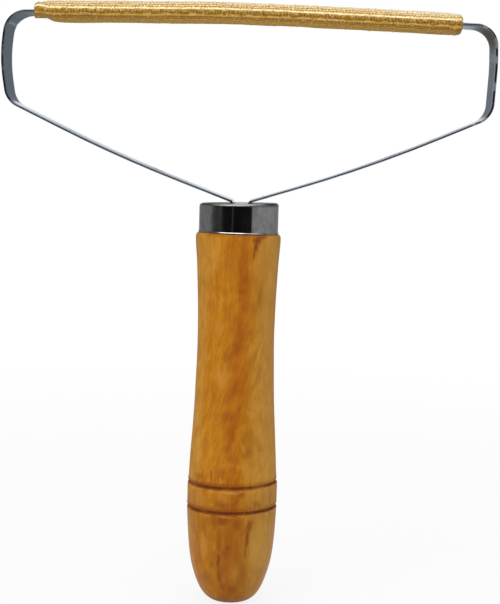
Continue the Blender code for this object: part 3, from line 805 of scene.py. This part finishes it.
def brass_mesh(sleeve, girth, over):
    """Brass-coloured wire knit with light and shade painted into its colour: painted highlights on the speckled
    stitches and over the top, tarnish between the stitches, painted shade on the slope and the underside, and a painted
    glint where it turns over the bar's front edge. over is how much of the girth lies above."""
    nodes = Surface("Brass mesh", Specular_IOR_Level=0.5)
    along = nodes.axes(nodes.millimetres())[0]
    around = nodes.axes(nodes.take("UV", "ShaderNodeUVMap", uv_map="AlongRound"))[1] * (girth / MM)
    knit = nodes.joined(along, around)
    depth = nodes.take("Fac", "ShaderNodeAttribute", attribute_name="Relief")
    fine = nodes.group("Fine Knit", Place=knit, Stitch=0.82, Row=1.3, Uneven=0.45)["Height"]
    speckle = nodes.noise(knit, (1.5, 0.95, 1.0), 3.0, 0.75)
    patches = nodes.noise(knit, (0.22, 0.8, 1.0), 2.0, 0.5)
    # How high a point stands in its stitch, with random speckle. The ramp paints the highest points as highlights and
    # the lowest as the tarnish between the wires.
    lit = fine * 0.6 + (depth * 0.14 + speckle * 1.2)
    tint = nodes.ramp(lit.fit(0.62, 1.3), [(0.0, srgb(134, 98, 34)), (0.3, sleeve.tarnish), (0.6, sleeve.brass),
                                           (1.0, srgb(255, 246, 204))])
    tint = tint.tinted(srgb(176, 120, 52), patches.ease(0.56, 0.7, 0.0, 0.45))
    tint = tint.tinted(srgb(160, 130, 60), patches.ease(0.44, 0.3, 0.0, 0.4))
    # Over the top a painted highlight makes the mesh paler, and most so towards the right end.
    front, under_end = over / MM, girth / MM
    top = abs(around - front / 2).ease(5.0, 2.4, 0.0, 0.42)
    tint = tint.tinted(srgb(250, 236, 200), top * speckle.fit(0.4, 0.6, 0.5, 1.0))
    pale = along.ease(34.0, 48.0, 0.0, 0.35) * around.ease(front - 1.6, front - 3.2)
    tint = tint.tinted(srgb(255, 244, 214), pale * speckle.fit(0.42, 0.58, 0.2, 1.6))
    # Millimetres past the line along the front edge, counted downwards. Below it the stitches show less, evened out
    # towards a duller tone that is painted shade.
    past = around - (front - 0.75)
    calm = past.ease(0.2, 0.8, 0.0, 0.38)
    tint = tint.tinted(srgb(202, 171, 88), calm)
    # Painted shade: the slope to the front edge is dimmed, the underside is darkened to a yellower brown, a dark crease
    # shadow runs under the front edge, and a second dark band lies below it.
    tint = tint.shaded(srgb(238, 232, 216), past.ease(-3.2, -1.6) * past.ease(0.2, -0.4))
    under = past.ease(0.3, 1.1) * around.ease(under_end + 0.6, under_end - 1.0)
    tint = tint.shaded(srgb(255, 231, 104), under * 0.95)
    tint = tint.shaded(srgb(226, 206, 176), past.near(3.3, 1.5, 0.4))
    tint = tint.shaded(srgb(190, 172, 134), past.near(1.0, 0.85, 0.3) * speckle.fit(0.4, 0.62, 0.95, 0.5))
    # Painted highlights of bright wire in dashes: one broken glint line along the front edge, a weaker one under it,
    # and a few anywhere.
    dashes = nodes.noise(knit, (0.4, 1.6, 1.0), 3.0, 0.6, shift=(3.0, 7.0, 0.0))
    tint = tint.tinted(srgb(236, 202, 128), past.near(1.95, 0.75, 0.2) * dashes.ease(0.5, 0.58, 0.0, 0.75))
    line = abs(past).ease(0.45, 0.1) * dashes.ease(0.38, 0.56, 0.1, 0.8)
    tint = tint.tinted(srgb(255, 236, 184), line.most(speckle.ease(0.6, 0.68, 0.0, 0.8)))
    nodes.bump(0.55, 0.00012, (fine + speckle * 0.7) * (1.0 - calm))
    return nodes.set(Base_Color=tint, Metallic=lit.fit(0.6, 1.2, 0.25, 0.45),
                     Roughness=speckle.fit(0.35, 0.7, 0.52, 0.36))


def wisp_wire(sleeve):
    """The loose ends of the mesh's wire."""
    nodes = Surface("Loose wire", Metallic=0.8)
    tone = nodes.noise(nodes.millimetres(), 0.8, 2.0, 0.5)
    return nodes.set(Base_Color=nodes.blend(tone.fit(0.35, 0.65), srgb(186, 140, 70), sleeve.brass),
                     Roughness=tone.fit(0.3, 0.7, 0.45, 0.3))


def pad_felt(sleeve):
    """Pressed grey felt with short fibres."""
    nodes = Surface("Pad felt", Sheen_Weight=0.3, Sheen_Roughness=0.5, Specular_IOR_Level=0.2)
    place = nodes.millimetres()
    fibres = nodes.noise(place, (1.6, 3.0, 3.0), 4.0, 0.7, 1.2)
    tint = nodes.blend(fibres.fit(0.35, 0.65), sleeve.felt, srgb(112, 104, 92))
    tint = tint.tinted(srgb(176, 168, 150), nodes.noise(place, 0.5, 2.0, 0.5).fit(0.4, 0.7, 0.0, 0.4))
    nodes.bump(0.9, 0.0002, fibres)
    return nodes.set(Base_Color=tint, Roughness=fibres.fit(0.3, 0.7, 0.98, 0.88))


def background_rays(nodes):
    """1 for what the camera, the metal and anything clear see of the studio."""
    rays = nodes.named(nodes.add("ShaderNodeLightPath"))
    return rays["Is Camera Ray"].most(rays["Is Glossy Ray"]).most(rays["Is Transmission Ray"])


def pale_floor(studio):
    """A pale floor that looks white to the camera and still keeps the object's shadow."""
    nodes = Surface("Pale floor", Roughness=0.9, Specular_IOR_Level=0.1)
    place = nodes.millimetres()
    grain = nodes.noise(place, 0.05, 3.0, 0.5)
    nodes.set(Base_Color=nodes.blend(grain.fit(0.3, 0.7, 0.0, 0.15), studio.floor, srgb(214, 214, 216)))
    whiter = nodes.length(place).ease(150.0, 520.0, 0.86, 1.0)
    return nodes.show(nodes.mixed(background_rays(nodes) * whiter, Value(nodes, nodes.shader.outputs[0]),
                                  nodes.glow((1.0, 1.0, 1.0))), alone=False)


# What the bright metal sees round the studio, by degrees round from behind the object: (angle, brightness).
SURROUND = (
    (-180, 0.006), (-167, 0.007), (-164.6, 0.04), (-163.2, 0.035), (-161, 0.007), (-141, 0.008), (-134, 0.018),
    (-128, 0.05), (-114, 0.042), (-104, 0.06), (-95, 0.15), (-88, 0.19), (-50, 0.18), (-14, 0.2), (-12.5, 1.0),
    (10.5, 1.0), (12, 0.26), (30, 0.2), (60, 0.26), (84, 0.28), (112, 0.3), (134, 0.26), (139, 0.2), (142, 0.012),
    (180, 0.006),
)


def surround_glow():
    """Grey studio walls with a white backdrop behind the object and a dark room in front."""
    nodes = Surface("Studio walls")
    x, y, _ = nodes.axes(nodes.take("Object", "ShaderNodeTexCoord"))
    turn = nodes.math("ARCTAN2", x, y).fit(-math.pi, math.pi)
    return nodes.show(nodes.glow(nodes.ramp(turn, [((degrees + 180.0) / 360.0, (value, value, value * 1.03))
                                                   for degrees, value in SURROUND])))


# Grey flags behind the object, which only the metal sees: (x, z) corners in millimetres. Their outlines suit what the
# bends reflect towards the photograph's viewpoint.
FLAGS_BACK = 200.0
FLAGS = (
    ((-36, 138), (-14, 137), (-14, 230), (-75, 230), (-75, 163), (-36, 147)),
    ((-125, 60), (-34, 60), (-34, 132.5), (-125, 163)),
    ((28, 139), (54, 140), (60, 152), (76, 158), (76, 230), (28, 230)), ((50, 60), (130, 60), (130, 161), (50, 132)),
)


def flag_glow():
    """The flags' even grey."""
    nodes = Surface("Grey flags")
    return nodes.show(nodes.glow((0.26, 0.265, 0.27)))


def grey_card():
    """A grey card on the floor that only the metal sees, clear of the object."""
    nodes = Surface("Grey card")
    clear = nodes.take(0, "ShaderNodeBsdfTransparent")
    away = nodes.length(nodes.millimetres())
    return nodes.show(nodes.mixed(away.ease(60.0, 150.0), clear, nodes.glow((0.26, 0.26, 0.265))))


# Operators

class LINT_OT_stage(bpy.types.Operator):
    """Sets the camera, the pale floor, the soft light and what only the metal sees"""
    bl_idname = "lint_remover.stage"
    bl_label = "Studio Stage"

    FLOOR_RADIUS, CARD_RADIUS, CARD_HEIGHT = 3.0, 1.25, 1.0 * MM
    WALL_RADIUS, WALL_HEIGHT = 1.3, 1.5

    def execute(self, context):
        studio, scene = context.scene.lint_studio, context.scene
        scene.view_settings.view_transform = "Standard"
        lens = bpy.data.cameras.new("Camera")
        lens.lens, lens.sensor_width = CAMERA_LENS, 36.0
        scene.camera = linked("Camera", lens)
        scene.camera.matrix_world = Matrix.Translation(CAMERA_PLACE)
        for degrees, axis in ((CAMERA_SWING, "Z"), (90.0 - CAMERA_DIP, "X"), (CAMERA_ROLL, "Z")):
            scene.camera.matrix_world = scene.camera.matrix_world @ Matrix.Rotation(math.radians(degrees), 4, axis)
        self.light_world(scene, studio)

        self.add_stage("studio_floor", self.disc(self.FLOOR_RADIUS, 0.0), pale_floor(studio))
        bm = bmesh.new()
        bmesh.ops.create_cone(bm, cap_ends=False, segments=128, radius1=self.WALL_RADIUS, radius2=self.WALL_RADIUS,
                              depth=self.WALL_HEIGHT)
        bmesh.ops.translate(bm, verts=bm.verts, vec=(0.0, 0.0, self.WALL_HEIGHT / 2))
        bmesh.ops.reverse_faces(bm, faces=bm.faces)
        walls = self.add_stage("studio_walls", bm, surround_glow())
        card = self.add_stage("studio_card", self.disc(self.CARD_RADIUS, self.CARD_HEIGHT), grey_card())
        bm = bmesh.new()
        for corners in FLAGS:
            bm.faces.new([bm.verts.new((x * MM, FLAGS_BACK * MM, z * MM)) for x, z in corners])
        flags = self.add_stage("studio_flags", bm, flag_glow())
        for made in (walls, card, flags):
            made.visible_camera = made.visible_diffuse = made.visible_shadow = False
            made.visible_transmission = made.visible_volume_scatter = False

        self.add_light("Overhead", studio.overhead, 0.9, (-0.12, -0.22, 0.95), (0.0, 0.0, 0.1))
        self.add_light("Fill", studio.fill, 0.5, (-0.5, -0.72, 0.3), (0.0, 0.0, 0.08)).visible_glossy = False
        return {"FINISHED"}

    @staticmethod
    def light_world(scene, studio):
        """Even light that is stronger from above, and plain white for what looks at the background."""
        scene.world = bpy.data.worlds.new("Studio")
        scene.world.use_nodes = True
        nodes = Nodes(scene.world.node_tree)
        seen = background_rays(nodes)
        sky = nodes.axes(nodes.take("Generated", "ShaderNodeTexCoord"))[2].fit(-0.1, 0.9, 0.62, 1.5)
        backdrop = nodes.tree.nodes["Background"].inputs
        nodes.put(backdrop["Strength"], (1.0 - seen) * sky * studio.ambient + seen)
        nodes.put(backdrop["Color"], (1.0, 1.0, 1.0))

    @staticmethod
    def disc(radius, height):
        bm = bmesh.new()
        bmesh.ops.create_circle(bm, cap_ends=True, radius=radius, segments=96)
        bmesh.ops.translate(bm, verts=bm.verts, vec=(0.0, 0.0, height))
        return bm

    @staticmethod
    def add_stage(name, bm, surface):
        made = linked(name, mesh_from(name, bm))
        made.data.materials.append(surface)
        return made

    @staticmethod
    def add_light(name, power, width, place, aim):
        lamp = bpy.data.lights.new(name, "AREA")
        lamp.shape, lamp.size, lamp.energy = "SQUARE", width, power
        light = linked(name, lamp)
        light.location = place
        light.rotation_euler = (Vector(aim) - Vector(place)).to_track_quat("-Z", "Y").to_euler()
        return light


class LINT_OT_handle(bpy.types.Operator):
    """Turns the wooden handle, with its two scorched grooves and the mortise for the tangs"""
    bl_idname = "lint_remover.handle"
    bl_label = "Turned Handle"

    def execute(self, context):
        handle, strip = context.scene.lint_handle, context.scene.lint_strip
        outline = [(0.0, 0.0)] + outline_with_grooves(handle)
        outline += [(TENON_RADIUS, outline[-1][1]), (TENON_RADIUS, TENON_TOP - TENON_CHAMFER),
                    (TENON_RADIUS - TENON_CHAMFER, TENON_TOP), (0.0, TENON_TOP)]
        bm = turned(outline, handle.turned_steps)
        self.wear(bm, handle)
        half = TANG_FROM_MIDDLE + strip.thickness / 2 + SEAT_GAP
        deep = strip.width / 2 + SEAT_GAP
        rim = open_slot(bm, TENON_TOP, (HEAD_OFFSET - half, -deep), (HEAD_OFFSET + half, deep))
        sunk = bmesh.ops.extrude_edge_only(bm, edges=rim)["geom"]
        floor = [part for part in sunk if isinstance(part, bmesh.types.BMVert)]
        bmesh.ops.translate(bm, verts=floor, vec=(0.0, 0.0, TANG_BOTTOM - SEAT_GAP - TENON_TOP))
        cap_ends(bm)
        piece = finished("turned_handle", bm, handle_wood(handle), ("handle",))
        piece.data.set_sharp_from_angle(angle=math.radians(50))
        return {"FINISHED"}

    @staticmethod
    def wear(bm, handle):
        """A lathe's slight unevenness, and chips in the grooves' lips."""
        for vert in bm.verts:
            height, radius = vert.co.z / MM, math.hypot(vert.co.x, vert.co.y)
            if not 1.0 < height < 107.0:
                continue
            place = vert.co / MM
            shift = 0.05 * MM * noise.noise(place * 0.09)
            shift += 0.018 * MM * wobble(place.x * 0.5, place.y * 0.5, place.z * 0.16)
            for groove in GROOVES:
                away = height - groove
                near = math.exp(-((abs(away) - 0.75) / 0.28) ** 2)
                if near > 0.02:
                    chip = wobble(place.x * 0.62, place.y * 0.62, groove + away * 0.5)
                    shift -= handle.lip_chips * near * smoothstep(0.12, 0.42, chip)
                inner = math.exp(-(away / 0.4) ** 2)
                shift += 0.09 * MM * inner * wobble(place.x * 0.4, place.y * 0.4, groove)
            vert.co.x += vert.co.x / radius * shift
            vert.co.y += vert.co.y / radius * shift
            near = max(smoothstep(6.0, 1.6, abs(height - groove)) for groove in GROOVES)
            shoulder = smoothstep(98.0, 104.0, height) * FERRULE_BASE_TILT
            vert.co.z += vert.co.x * (GROOVE_TILT * near + shoulder)


class LINT_OT_ferrule(bpy.types.Operator):
    """Draws the chromed ferrule, with a softened top edge, a flared lower rim and a slot for each tang"""
    bl_idname = "lint_remover.ferrule"
    bl_label = "Ferrule"

    FOOT_DROP = 0.21 * MM
    # (out, up) as shares of the flare
    FLARE = ((0.8, 0.0), (1.0, 0.15), (1.0, 0.4), (0.62, 1.0), (0.24, 1.6), (0.06, 1.95), (0.0, 2.4))
    BEND_STEPS, ROUND_STEPS = 10, 160

    def execute(self, context):
        ferrule, strip = context.scene.lint_ferrule, context.scene.lint_strip
        outer, inner = ferrule.radius, ferrule.radius - ferrule.wall
        ceiling, edge = FERRULE_TOP - ferrule.wall, ferrule.edge_radius
        flare, foot = ferrule.flare, FERRULE_BASE - self.FOOT_DROP

        def bend(radius, start, end):
            angles = [math.radians(start + (end - start) * k / self.BEND_STEPS) for k in range(self.BEND_STEPS + 1)]
            return [(outer - edge + radius * math.cos(a), FERRULE_TOP - edge + radius * math.sin(a)) for a in angles]

        outline = [(0.0, ceiling)] + bend(edge - ferrule.wall, 90, 0) + [(inner, foot + 0.02 * MM)]
        outline += [(outer + flare * out, foot + flare * up) for out, up in self.FLARE]
        outline += [(outer, foot + 2 * MM), (outer, foot + 4 * MM)] + bend(edge, 0, 90) + [(0.0, FERRULE_TOP)]
        bm = turned(outline, self.ROUND_STEPS)
        deep = strip.width / 2 + SEAT_GAP
        for side in (-1, 1):
            middle = HEAD_OFFSET + side * TANG_FROM_MIDDLE
            half = strip.thickness / 2 + SEAT_GAP
            low, high = (middle - half, -deep), (middle + half, deep)
            rims = open_slot(bm, FERRULE_TOP, low, high) + open_slot(bm, ceiling, low, high)
            bmesh.ops.bridge_loops(bm, edges=rims)
        for vert in bm.verts:
            up = (vert.co.z - FERRULE_BASE) / (FERRULE_TOP - FERRULE_BASE)
            rim = smoothstep(0.8, 1.0, math.hypot(vert.co.x, vert.co.y) / inner)
            tilt = FERRULE_BASE_TILT + (FERRULE_TOP_TILT - FERRULE_BASE_TILT) * up
            vert.co.z += rim * tilt * vert.co.x + 0.08 * MM * rim * up
        piece = finished("chrome_ferrule", bm, ferrule_chrome(ferrule), ("ferrule",))
        piece.data.set_sharp_from_angle(angle=math.radians(40))
        return {"FINISHED"}


class LINT_OT_frame_strip(bpy.types.Operator):
    """Bends the flat steel strip that makes the whole head"""
    bl_idname = "lint_remover.frame_strip"
    bl_label = "Frame Strip"

    STEPS_ACROSS = 8

    def execute(self, context):
        strip = context.scene.lint_strip
        bm = bmesh.new()
        verts = [bm.verts.new((point.x, -strip.width / 2, point.y)) for point in strip_line()]
        edges = [bm.edges.new(pair) for pair in zip(verts, verts[1:])]
        for _ in range(self.STEPS_ACROSS):
            drawn = bmesh.ops.extrude_edge_only(bm, edges=edges)["geom"]
            edges = [part for part in drawn if isinstance(part, bmesh.types.BMEdge)]
            moved = [part for part in drawn if isinstance(part, bmesh.types.BMVert)]
            bmesh.ops.translate(bm, verts=moved, vec=(0.0, strip.width / self.STEPS_ACROSS, 0.0))
            edges = [edge for edge in edges if all(vert in moved for vert in edge.verts)]
        for vert in bm.verts:
            if vert.co.z > FERRULE_TOP + 2 * MM:
                place = vert.co / MM
                vert.co.y += 0.05 * MM * wobble(place.x * 0.05, place.z * 0.05, 3.0)
                vert.co.z += 0.03 * MM * wobble(place.x * 0.04, place.y * 0.03, 8.0)
        piece = finished("steel_strip", bm, strip_steel(strip), ("frame_strip",))
        wall = piece.modifiers.new("Thickness", "SOLIDIFY")
        wall.thickness, wall.offset, wall.use_even_offset = strip.thickness, 0.0, True
        bevel = piece.modifiers.new("Rounded edges", "BEVEL")
        bevel.width, bevel.segments, bevel.limit_method = strip.edge_round, 4, "ANGLE"
        bevel.angle_limit = math.radians(60)
        return {"FINISHED"}


class LINT_OT_mesh_sleeve(bpy.types.Operator):
    """Knits the brass mesh sleeve over the bar, with its drawn-in ends and loose wire ends"""
    bl_idname = "lint_remover.mesh_sleeve"
    bl_label = "Mesh Sleeve"

    ROUND_STEPS = 144
    OUTER_STEP = 0.2125 * MM
    # How far round its lip each row of a mouth lies.
    FOLD = (0.25, 0.5, 0.75)
    LIP = 0.2 * MM
    INSIDE = (0.012, 0.03, 0.08, 0.25, 0.5, 0.75, 0.92, 0.97, 0.988)
    # At its two mouths the sleeve closes to this half height, half width and nose.
    MOUTH, MOUTH_WIDTH, MOUTH_NOSE = 0.62 * MM, 6.95 * MM, 0.5 * MM
    WISPS, WISP_RADIUS = 150, 0.035 * MM
    # Steps along and around that scatter the wisps evenly, and where each of a wisp's four measures is drawn from.
    SCATTER, SHIFTS = (0.6180339887, 0.7548776662), (0.2, 5.3, 9.9, 14.4)

    def execute(self, context):
        sleeve = context.scene.lint_sleeve
        stations, rings, girth, over = self.stations(sleeve), [], 0.0, 0.0
        for x, inset, closing, outside in stations:
            rise, drop = end_shape(sleeve, x)
            half_width = sleeve.half_width - inset
            if closing:
                rise += (self.MOUTH - rise) * closing
                drop += (self.MOUTH - drop) * closing
                half_width += (self.MOUTH_WIDTH - half_width) * closing
            blunt = max(smoothstep(4.5 * MM, 0.5 * MM, x - SLEEVE_LOW.x),
                        smoothstep(4.0 * MM, 0.5 * MM, SLEEVE_HIGH.x - x))
            nose = (sleeve.nose - inset + BLUNT_END * blunt) * (1 - closing) + self.MOUTH_NOSE * closing
            points, around, upper = section(half_width, rise - inset * (1 - closing), drop - inset * (1 - closing),
                                            nose, self.ROUND_STEPS)
            girth, over = max((girth, over), (around, upper))
            rings.append((points, bar_place(x), x, outside))

        def place(station, step):
            points, (middle, onward), x, outside = rings[station % len(rings)]
            y, z, out_y, out_z = points[step]
            if outside:
                lift = knit_height(sleeve, x, step / self.ROUND_STEPS) * outside
                lift += self.slack(x, y, z) * outside
                y, z = y + out_y * lift, z + out_z * lift
            askew = (ASKEW_RIGHT * smoothstep(5.0 * MM, 0.0, SLEEVE_HIGH.x - x)
                     - ASKEW_LEFT * smoothstep(6.5 * MM, 0.0, x - SLEEVE_LOW.x)) * (0.5 + y / sleeve.half_width / 2)
            return Vector((middle.x - z * onward.y + askew, y, middle.y + z * onward.x))

        bm = grid_tube(len(rings) + 1, self.ROUND_STEPS, place)
        self.store_relief(bm, sleeve)
        piece = finished("mesh_sleeve_knit", bm, brass_mesh(sleeve, girth, over), ("mesh_sleeve",))
        wisps = self.wisps(sleeve, rings)
        return {"FINISHED"}

    def stations(self, sleeve):
        """(x, inset, closing, how much relief) from the left mouth over the outside, and back along the inside."""
        left, right, lip = SLEEVE_LOW.x, SLEEVE_HIGH.x, self.LIP
        count = round((right - left - 2 * lip) / self.OUTER_STEP)
        outside = [left + lip + (right - left - 2 * lip) * k / count for k in range(count + 1)]
        rows = [(left + lip * (1 - math.sin(math.pi / 2 * t)) * 0.999 + 0.001 * lip, 0.0, 1.0 - t, 0.3 * t)
                for t in self.FOLD]
        rows += [(x, 0.0, 0.0, smoothstep(0.0, 0.6 * MM, min(x - left, right - x)) * 0.7 + 0.3) for x in outside]
        rows += [(right - lip * (1 - math.sin(math.pi / 2 * t)) * 0.999 - 0.001 * lip, 0.0, 1.0 - t, 0.3 * t)
                 for t in reversed(self.FOLD)]
        closed = (self.INSIDE[0], self.INSIDE[-1])
        rows += [(right + (left - right) * t, sleeve.wall, 1.0 if t in closed else 0.0, 0.0) for t in self.INSIDE]
        return rows

    @staticmethod
    def slack(x, y, z):
        """Slow unevenness of the whole sleeve, and the pinch near its left end."""
        place = Vector((x / MM * 0.11, y / MM * 0.2, z / MM * 0.2))
        lump = 0.14 * MM * noise.noise(place) + 0.07 * MM * noise.noise(place * 3.1)
        pinch = math.exp(-(((x - SLEEVE_LOW.x) / MM - 2.6) / 0.28) ** 2) * smoothstep(1.0 * MM, -1.0 * MM, z)
        return lump - 0.14 * MM * pinch

    @staticmethod
    def store_relief(bm, sleeve):
        """Keeps each point's place in its stitch, 0 low and 1 high, for the material."""
        relief = bm.verts.layers.float.new("Relief")
        uv = bm.loops.layers.uv["AlongRound"]
        for vert in bm.verts:
            if vert.link_loops:
                around = vert.link_loops[0][uv].uv.y
                lift = knit_height(sleeve, vert.co.x, around)
                vert[relief] = clamped(lift / sleeve.stitch_rise + 0.5)

    def wisps(self, sleeve, rings):
        """Short loops of loose wire that stand a little out of the mesh, spread along it, with one in five of them at
        its two ends.
        """
        curve = bpy.data.curves.new("wisp_lines", "CURVE")
        curve.dimensions, curve.bevel_depth, curve.bevel_resolution = "3D", self.WISP_RADIUS, 1
        curve.use_fill_caps = True
        outer = [ring for ring in rings if ring[3] >= 0.3]
        for k in range(self.WISPS):
            a, b, c, d = (0.5 + 0.5 * wobble(k * 7.31 + shift, shift * 3.7, k * 1.93) for shift in self.SHIFTS)
            spread = (k * self.SCATTER[0]) % 1.0
            if k % 5 == 0:
                spread = 0.012 * a if k % 2 else 1.0 - 0.012 * a
            index = int(spread * (len(outer) - 1))
            points, (middle, onward), _, _ = outer[index]
            step = int((k * self.SCATTER[1] % 1.0) * self.ROUND_STEPS)
            y, z, out_y, out_z = points[step]
            reach = (0.5 + 0.9 * b) * MM
            rise = (0.05 + 0.16 * c) * MM
            lean = (d - 0.5) * 1.2 * MM
            spline = curve.splines.new("NURBS")
            spline.points.add(3)
            spline.use_endpoint_u = True
            spline.order_u = 3
            for point, (forth, lift, side) in zip(spline.points, (
                    (-reach / 2, -0.06 * MM, -lean / 2), (-reach / 5, rise, -lean / 6),
                    (reach / 4, rise * 0.9, lean / 4), (reach / 2, -0.06 * MM + rise * 0.3 * (k % 2), lean / 2))):
                at_y = y + out_y * lift - out_z * side
                at_z = z + out_z * lift + out_y * side
                point.co = (middle.x + forth * onward.x - at_z * onward.y, at_y,
                            middle.y + forth * onward.y + at_z * onward.x, 1.0)
        carrier = linked("wisp_lines", curve)
        bpy.context.view_layer.update()
        mesh = bpy.data.meshes.new_from_object(carrier.evaluated_get(bpy.context.evaluated_depsgraph_get()))
        bpy.data.objects.remove(carrier)
        mesh.name = "mesh_wisps"
        return placed("mesh_wisps", mesh, wisp_wire(sleeve))


class LINT_OT_pads(bpy.types.Operator):
    """Lays the two felt pads that fill the sleeve out, above and below the bar"""
    bl_idname = "lint_remover.pads"
    bl_label = "Felt Pads"

    STATIONS, ROUND_STEPS = 90, 56
    REACH, END_ROUNDING, CLEARANCE = 5.9 * MM, 1.6 * MM, 0.12 * MM

    def execute(self, context):
        sleeve, strip = context.scene.lint_sleeve, context.scene.lint_strip
        surface = pad_felt(sleeve)
        floor = strip.thickness / 2 + SEAT_GAP
        inset = sleeve.wall + SEAT_GAP
        for node, depth, side in (("upper_pad", sleeve.rise, 1), ("lower_pad", sleeve.drop, -1)):
            low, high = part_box(node)
            crown = depth - inset - self.CLEARANCE

            def place(station, step):
                t = station / (self.STATIONS - 1)
                x = low.x + (high.x - low.x) * t
                from_end = min(x - low.x, high.x - x) / self.END_ROUNDING
                full = math.sqrt(max(0.0, 1.0 - max(0.0, 1.0 - from_end) ** 2)) * 0.96 + 0.04
                angle = math.tau * step / self.ROUND_STEPS
                y = self.REACH * math.copysign(abs(math.cos(angle)) ** 0.8, math.cos(angle)) * full
                arch = abs(math.sin(angle)) ** 0.9
                if math.sin(angle) < 0:
                    z = floor + 0.04 * MM * (1 - arch)
                else:
                    z = floor + (crown - floor) * arch * full
                lump = 0.05 * MM * wobble(x / MM * 0.5, y / MM * 0.5, side * 4.0 + z / MM * 0.5)
                z += lump * arch * (1.0 if math.sin(angle) > 0 else 0.0)
                middle, onward = bar_place(x)
                return Vector((middle.x - side * z * onward.y, y, middle.y + side * z * onward.x))

            bm = grid_tube(self.STATIONS, self.ROUND_STEPS, place)
            cap_ends(bm)
            piece = finished(node + "_felt", bm, surface, (node,))
        return {"FINISHED"}


class LINT_OT_wedge(bpy.types.Operator):
    """Gives the hidden wedge between the tangs its planed wood"""
    bl_idname = "lint_remover.wedge"
    bl_label = "Tang Wedge"

    def execute(self, context):
        surface = wedge_wood()
        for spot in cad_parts["tang_wedge"].material_slots:
            spot.material = surface
        return {"FINISHED"}


class LINT_PT_parts(bpy.types.Panel):
    """Builds the lint remover's pieces"""
    bl_idname = "LINT_PT_parts"
    bl_label = "Lint Remover"
    bl_space_type = "VIEW_3D"
    bl_region_type = "UI"
    bl_category = "Lint Remover"

    def draw(self, context):
        for operator, group in PIECES:
            box = self.layout.box()
            box.operator(operator.bl_idname)
            if group:
                settings = getattr(context.scene, group)
                for name in settings.bl_rna.properties.keys():
                    if name not in ("rna_type", "name"):
                        box.prop(settings, name)


SETTINGS = {
    "lint_studio": StudioSettings,
    "lint_handle": HandleSettings,
    "lint_ferrule": FerruleSettings,
    "lint_strip": StripSettings,
    "lint_sleeve": SleeveSettings,
}
PIECES = (
    (LINT_OT_stage, "lint_studio"),
    (LINT_OT_handle, "lint_handle"),
    (LINT_OT_ferrule, "lint_ferrule"),
    (LINT_OT_wedge, None),
    (LINT_OT_frame_strip, "lint_strip"),
    (LINT_OT_pads, None),
    (LINT_OT_mesh_sleeve, "lint_sleeve"),
)


def register():
    for group, settings in SETTINGS.items():
        bpy.utils.register_class(settings)
        setattr(bpy.types.Scene, group, PointerProperty(type=settings))
    for operator, _ in PIECES:
        bpy.utils.register_class(operator)
    bpy.utils.register_class(LINT_PT_parts)


def unregister():
    bpy.utils.unregister_class(LINT_PT_parts)
    for operator, _ in reversed(PIECES):
        bpy.utils.unregister_class(operator)
    for group, settings in reversed(SETTINGS.items()):
        delattr(bpy.types.Scene, group)
        bpy.utils.unregister_class(settings)


def main():
    register()
    wood_figure_group()
    mark_group()
    metal_wear_group()
    fine_knit_group()
    bpy.ops.lint_remover.stage()
    bpy.ops.lint_remover.handle()
    bpy.ops.lint_remover.ferrule()
    bpy.ops.lint_remover.wedge()
    bpy.ops.lint_remover.frame_strip()
    bpy.ops.lint_remover.pads()
    bpy.ops.lint_remover.mesh_sleeve()


if __name__ == "__main__":
    main()
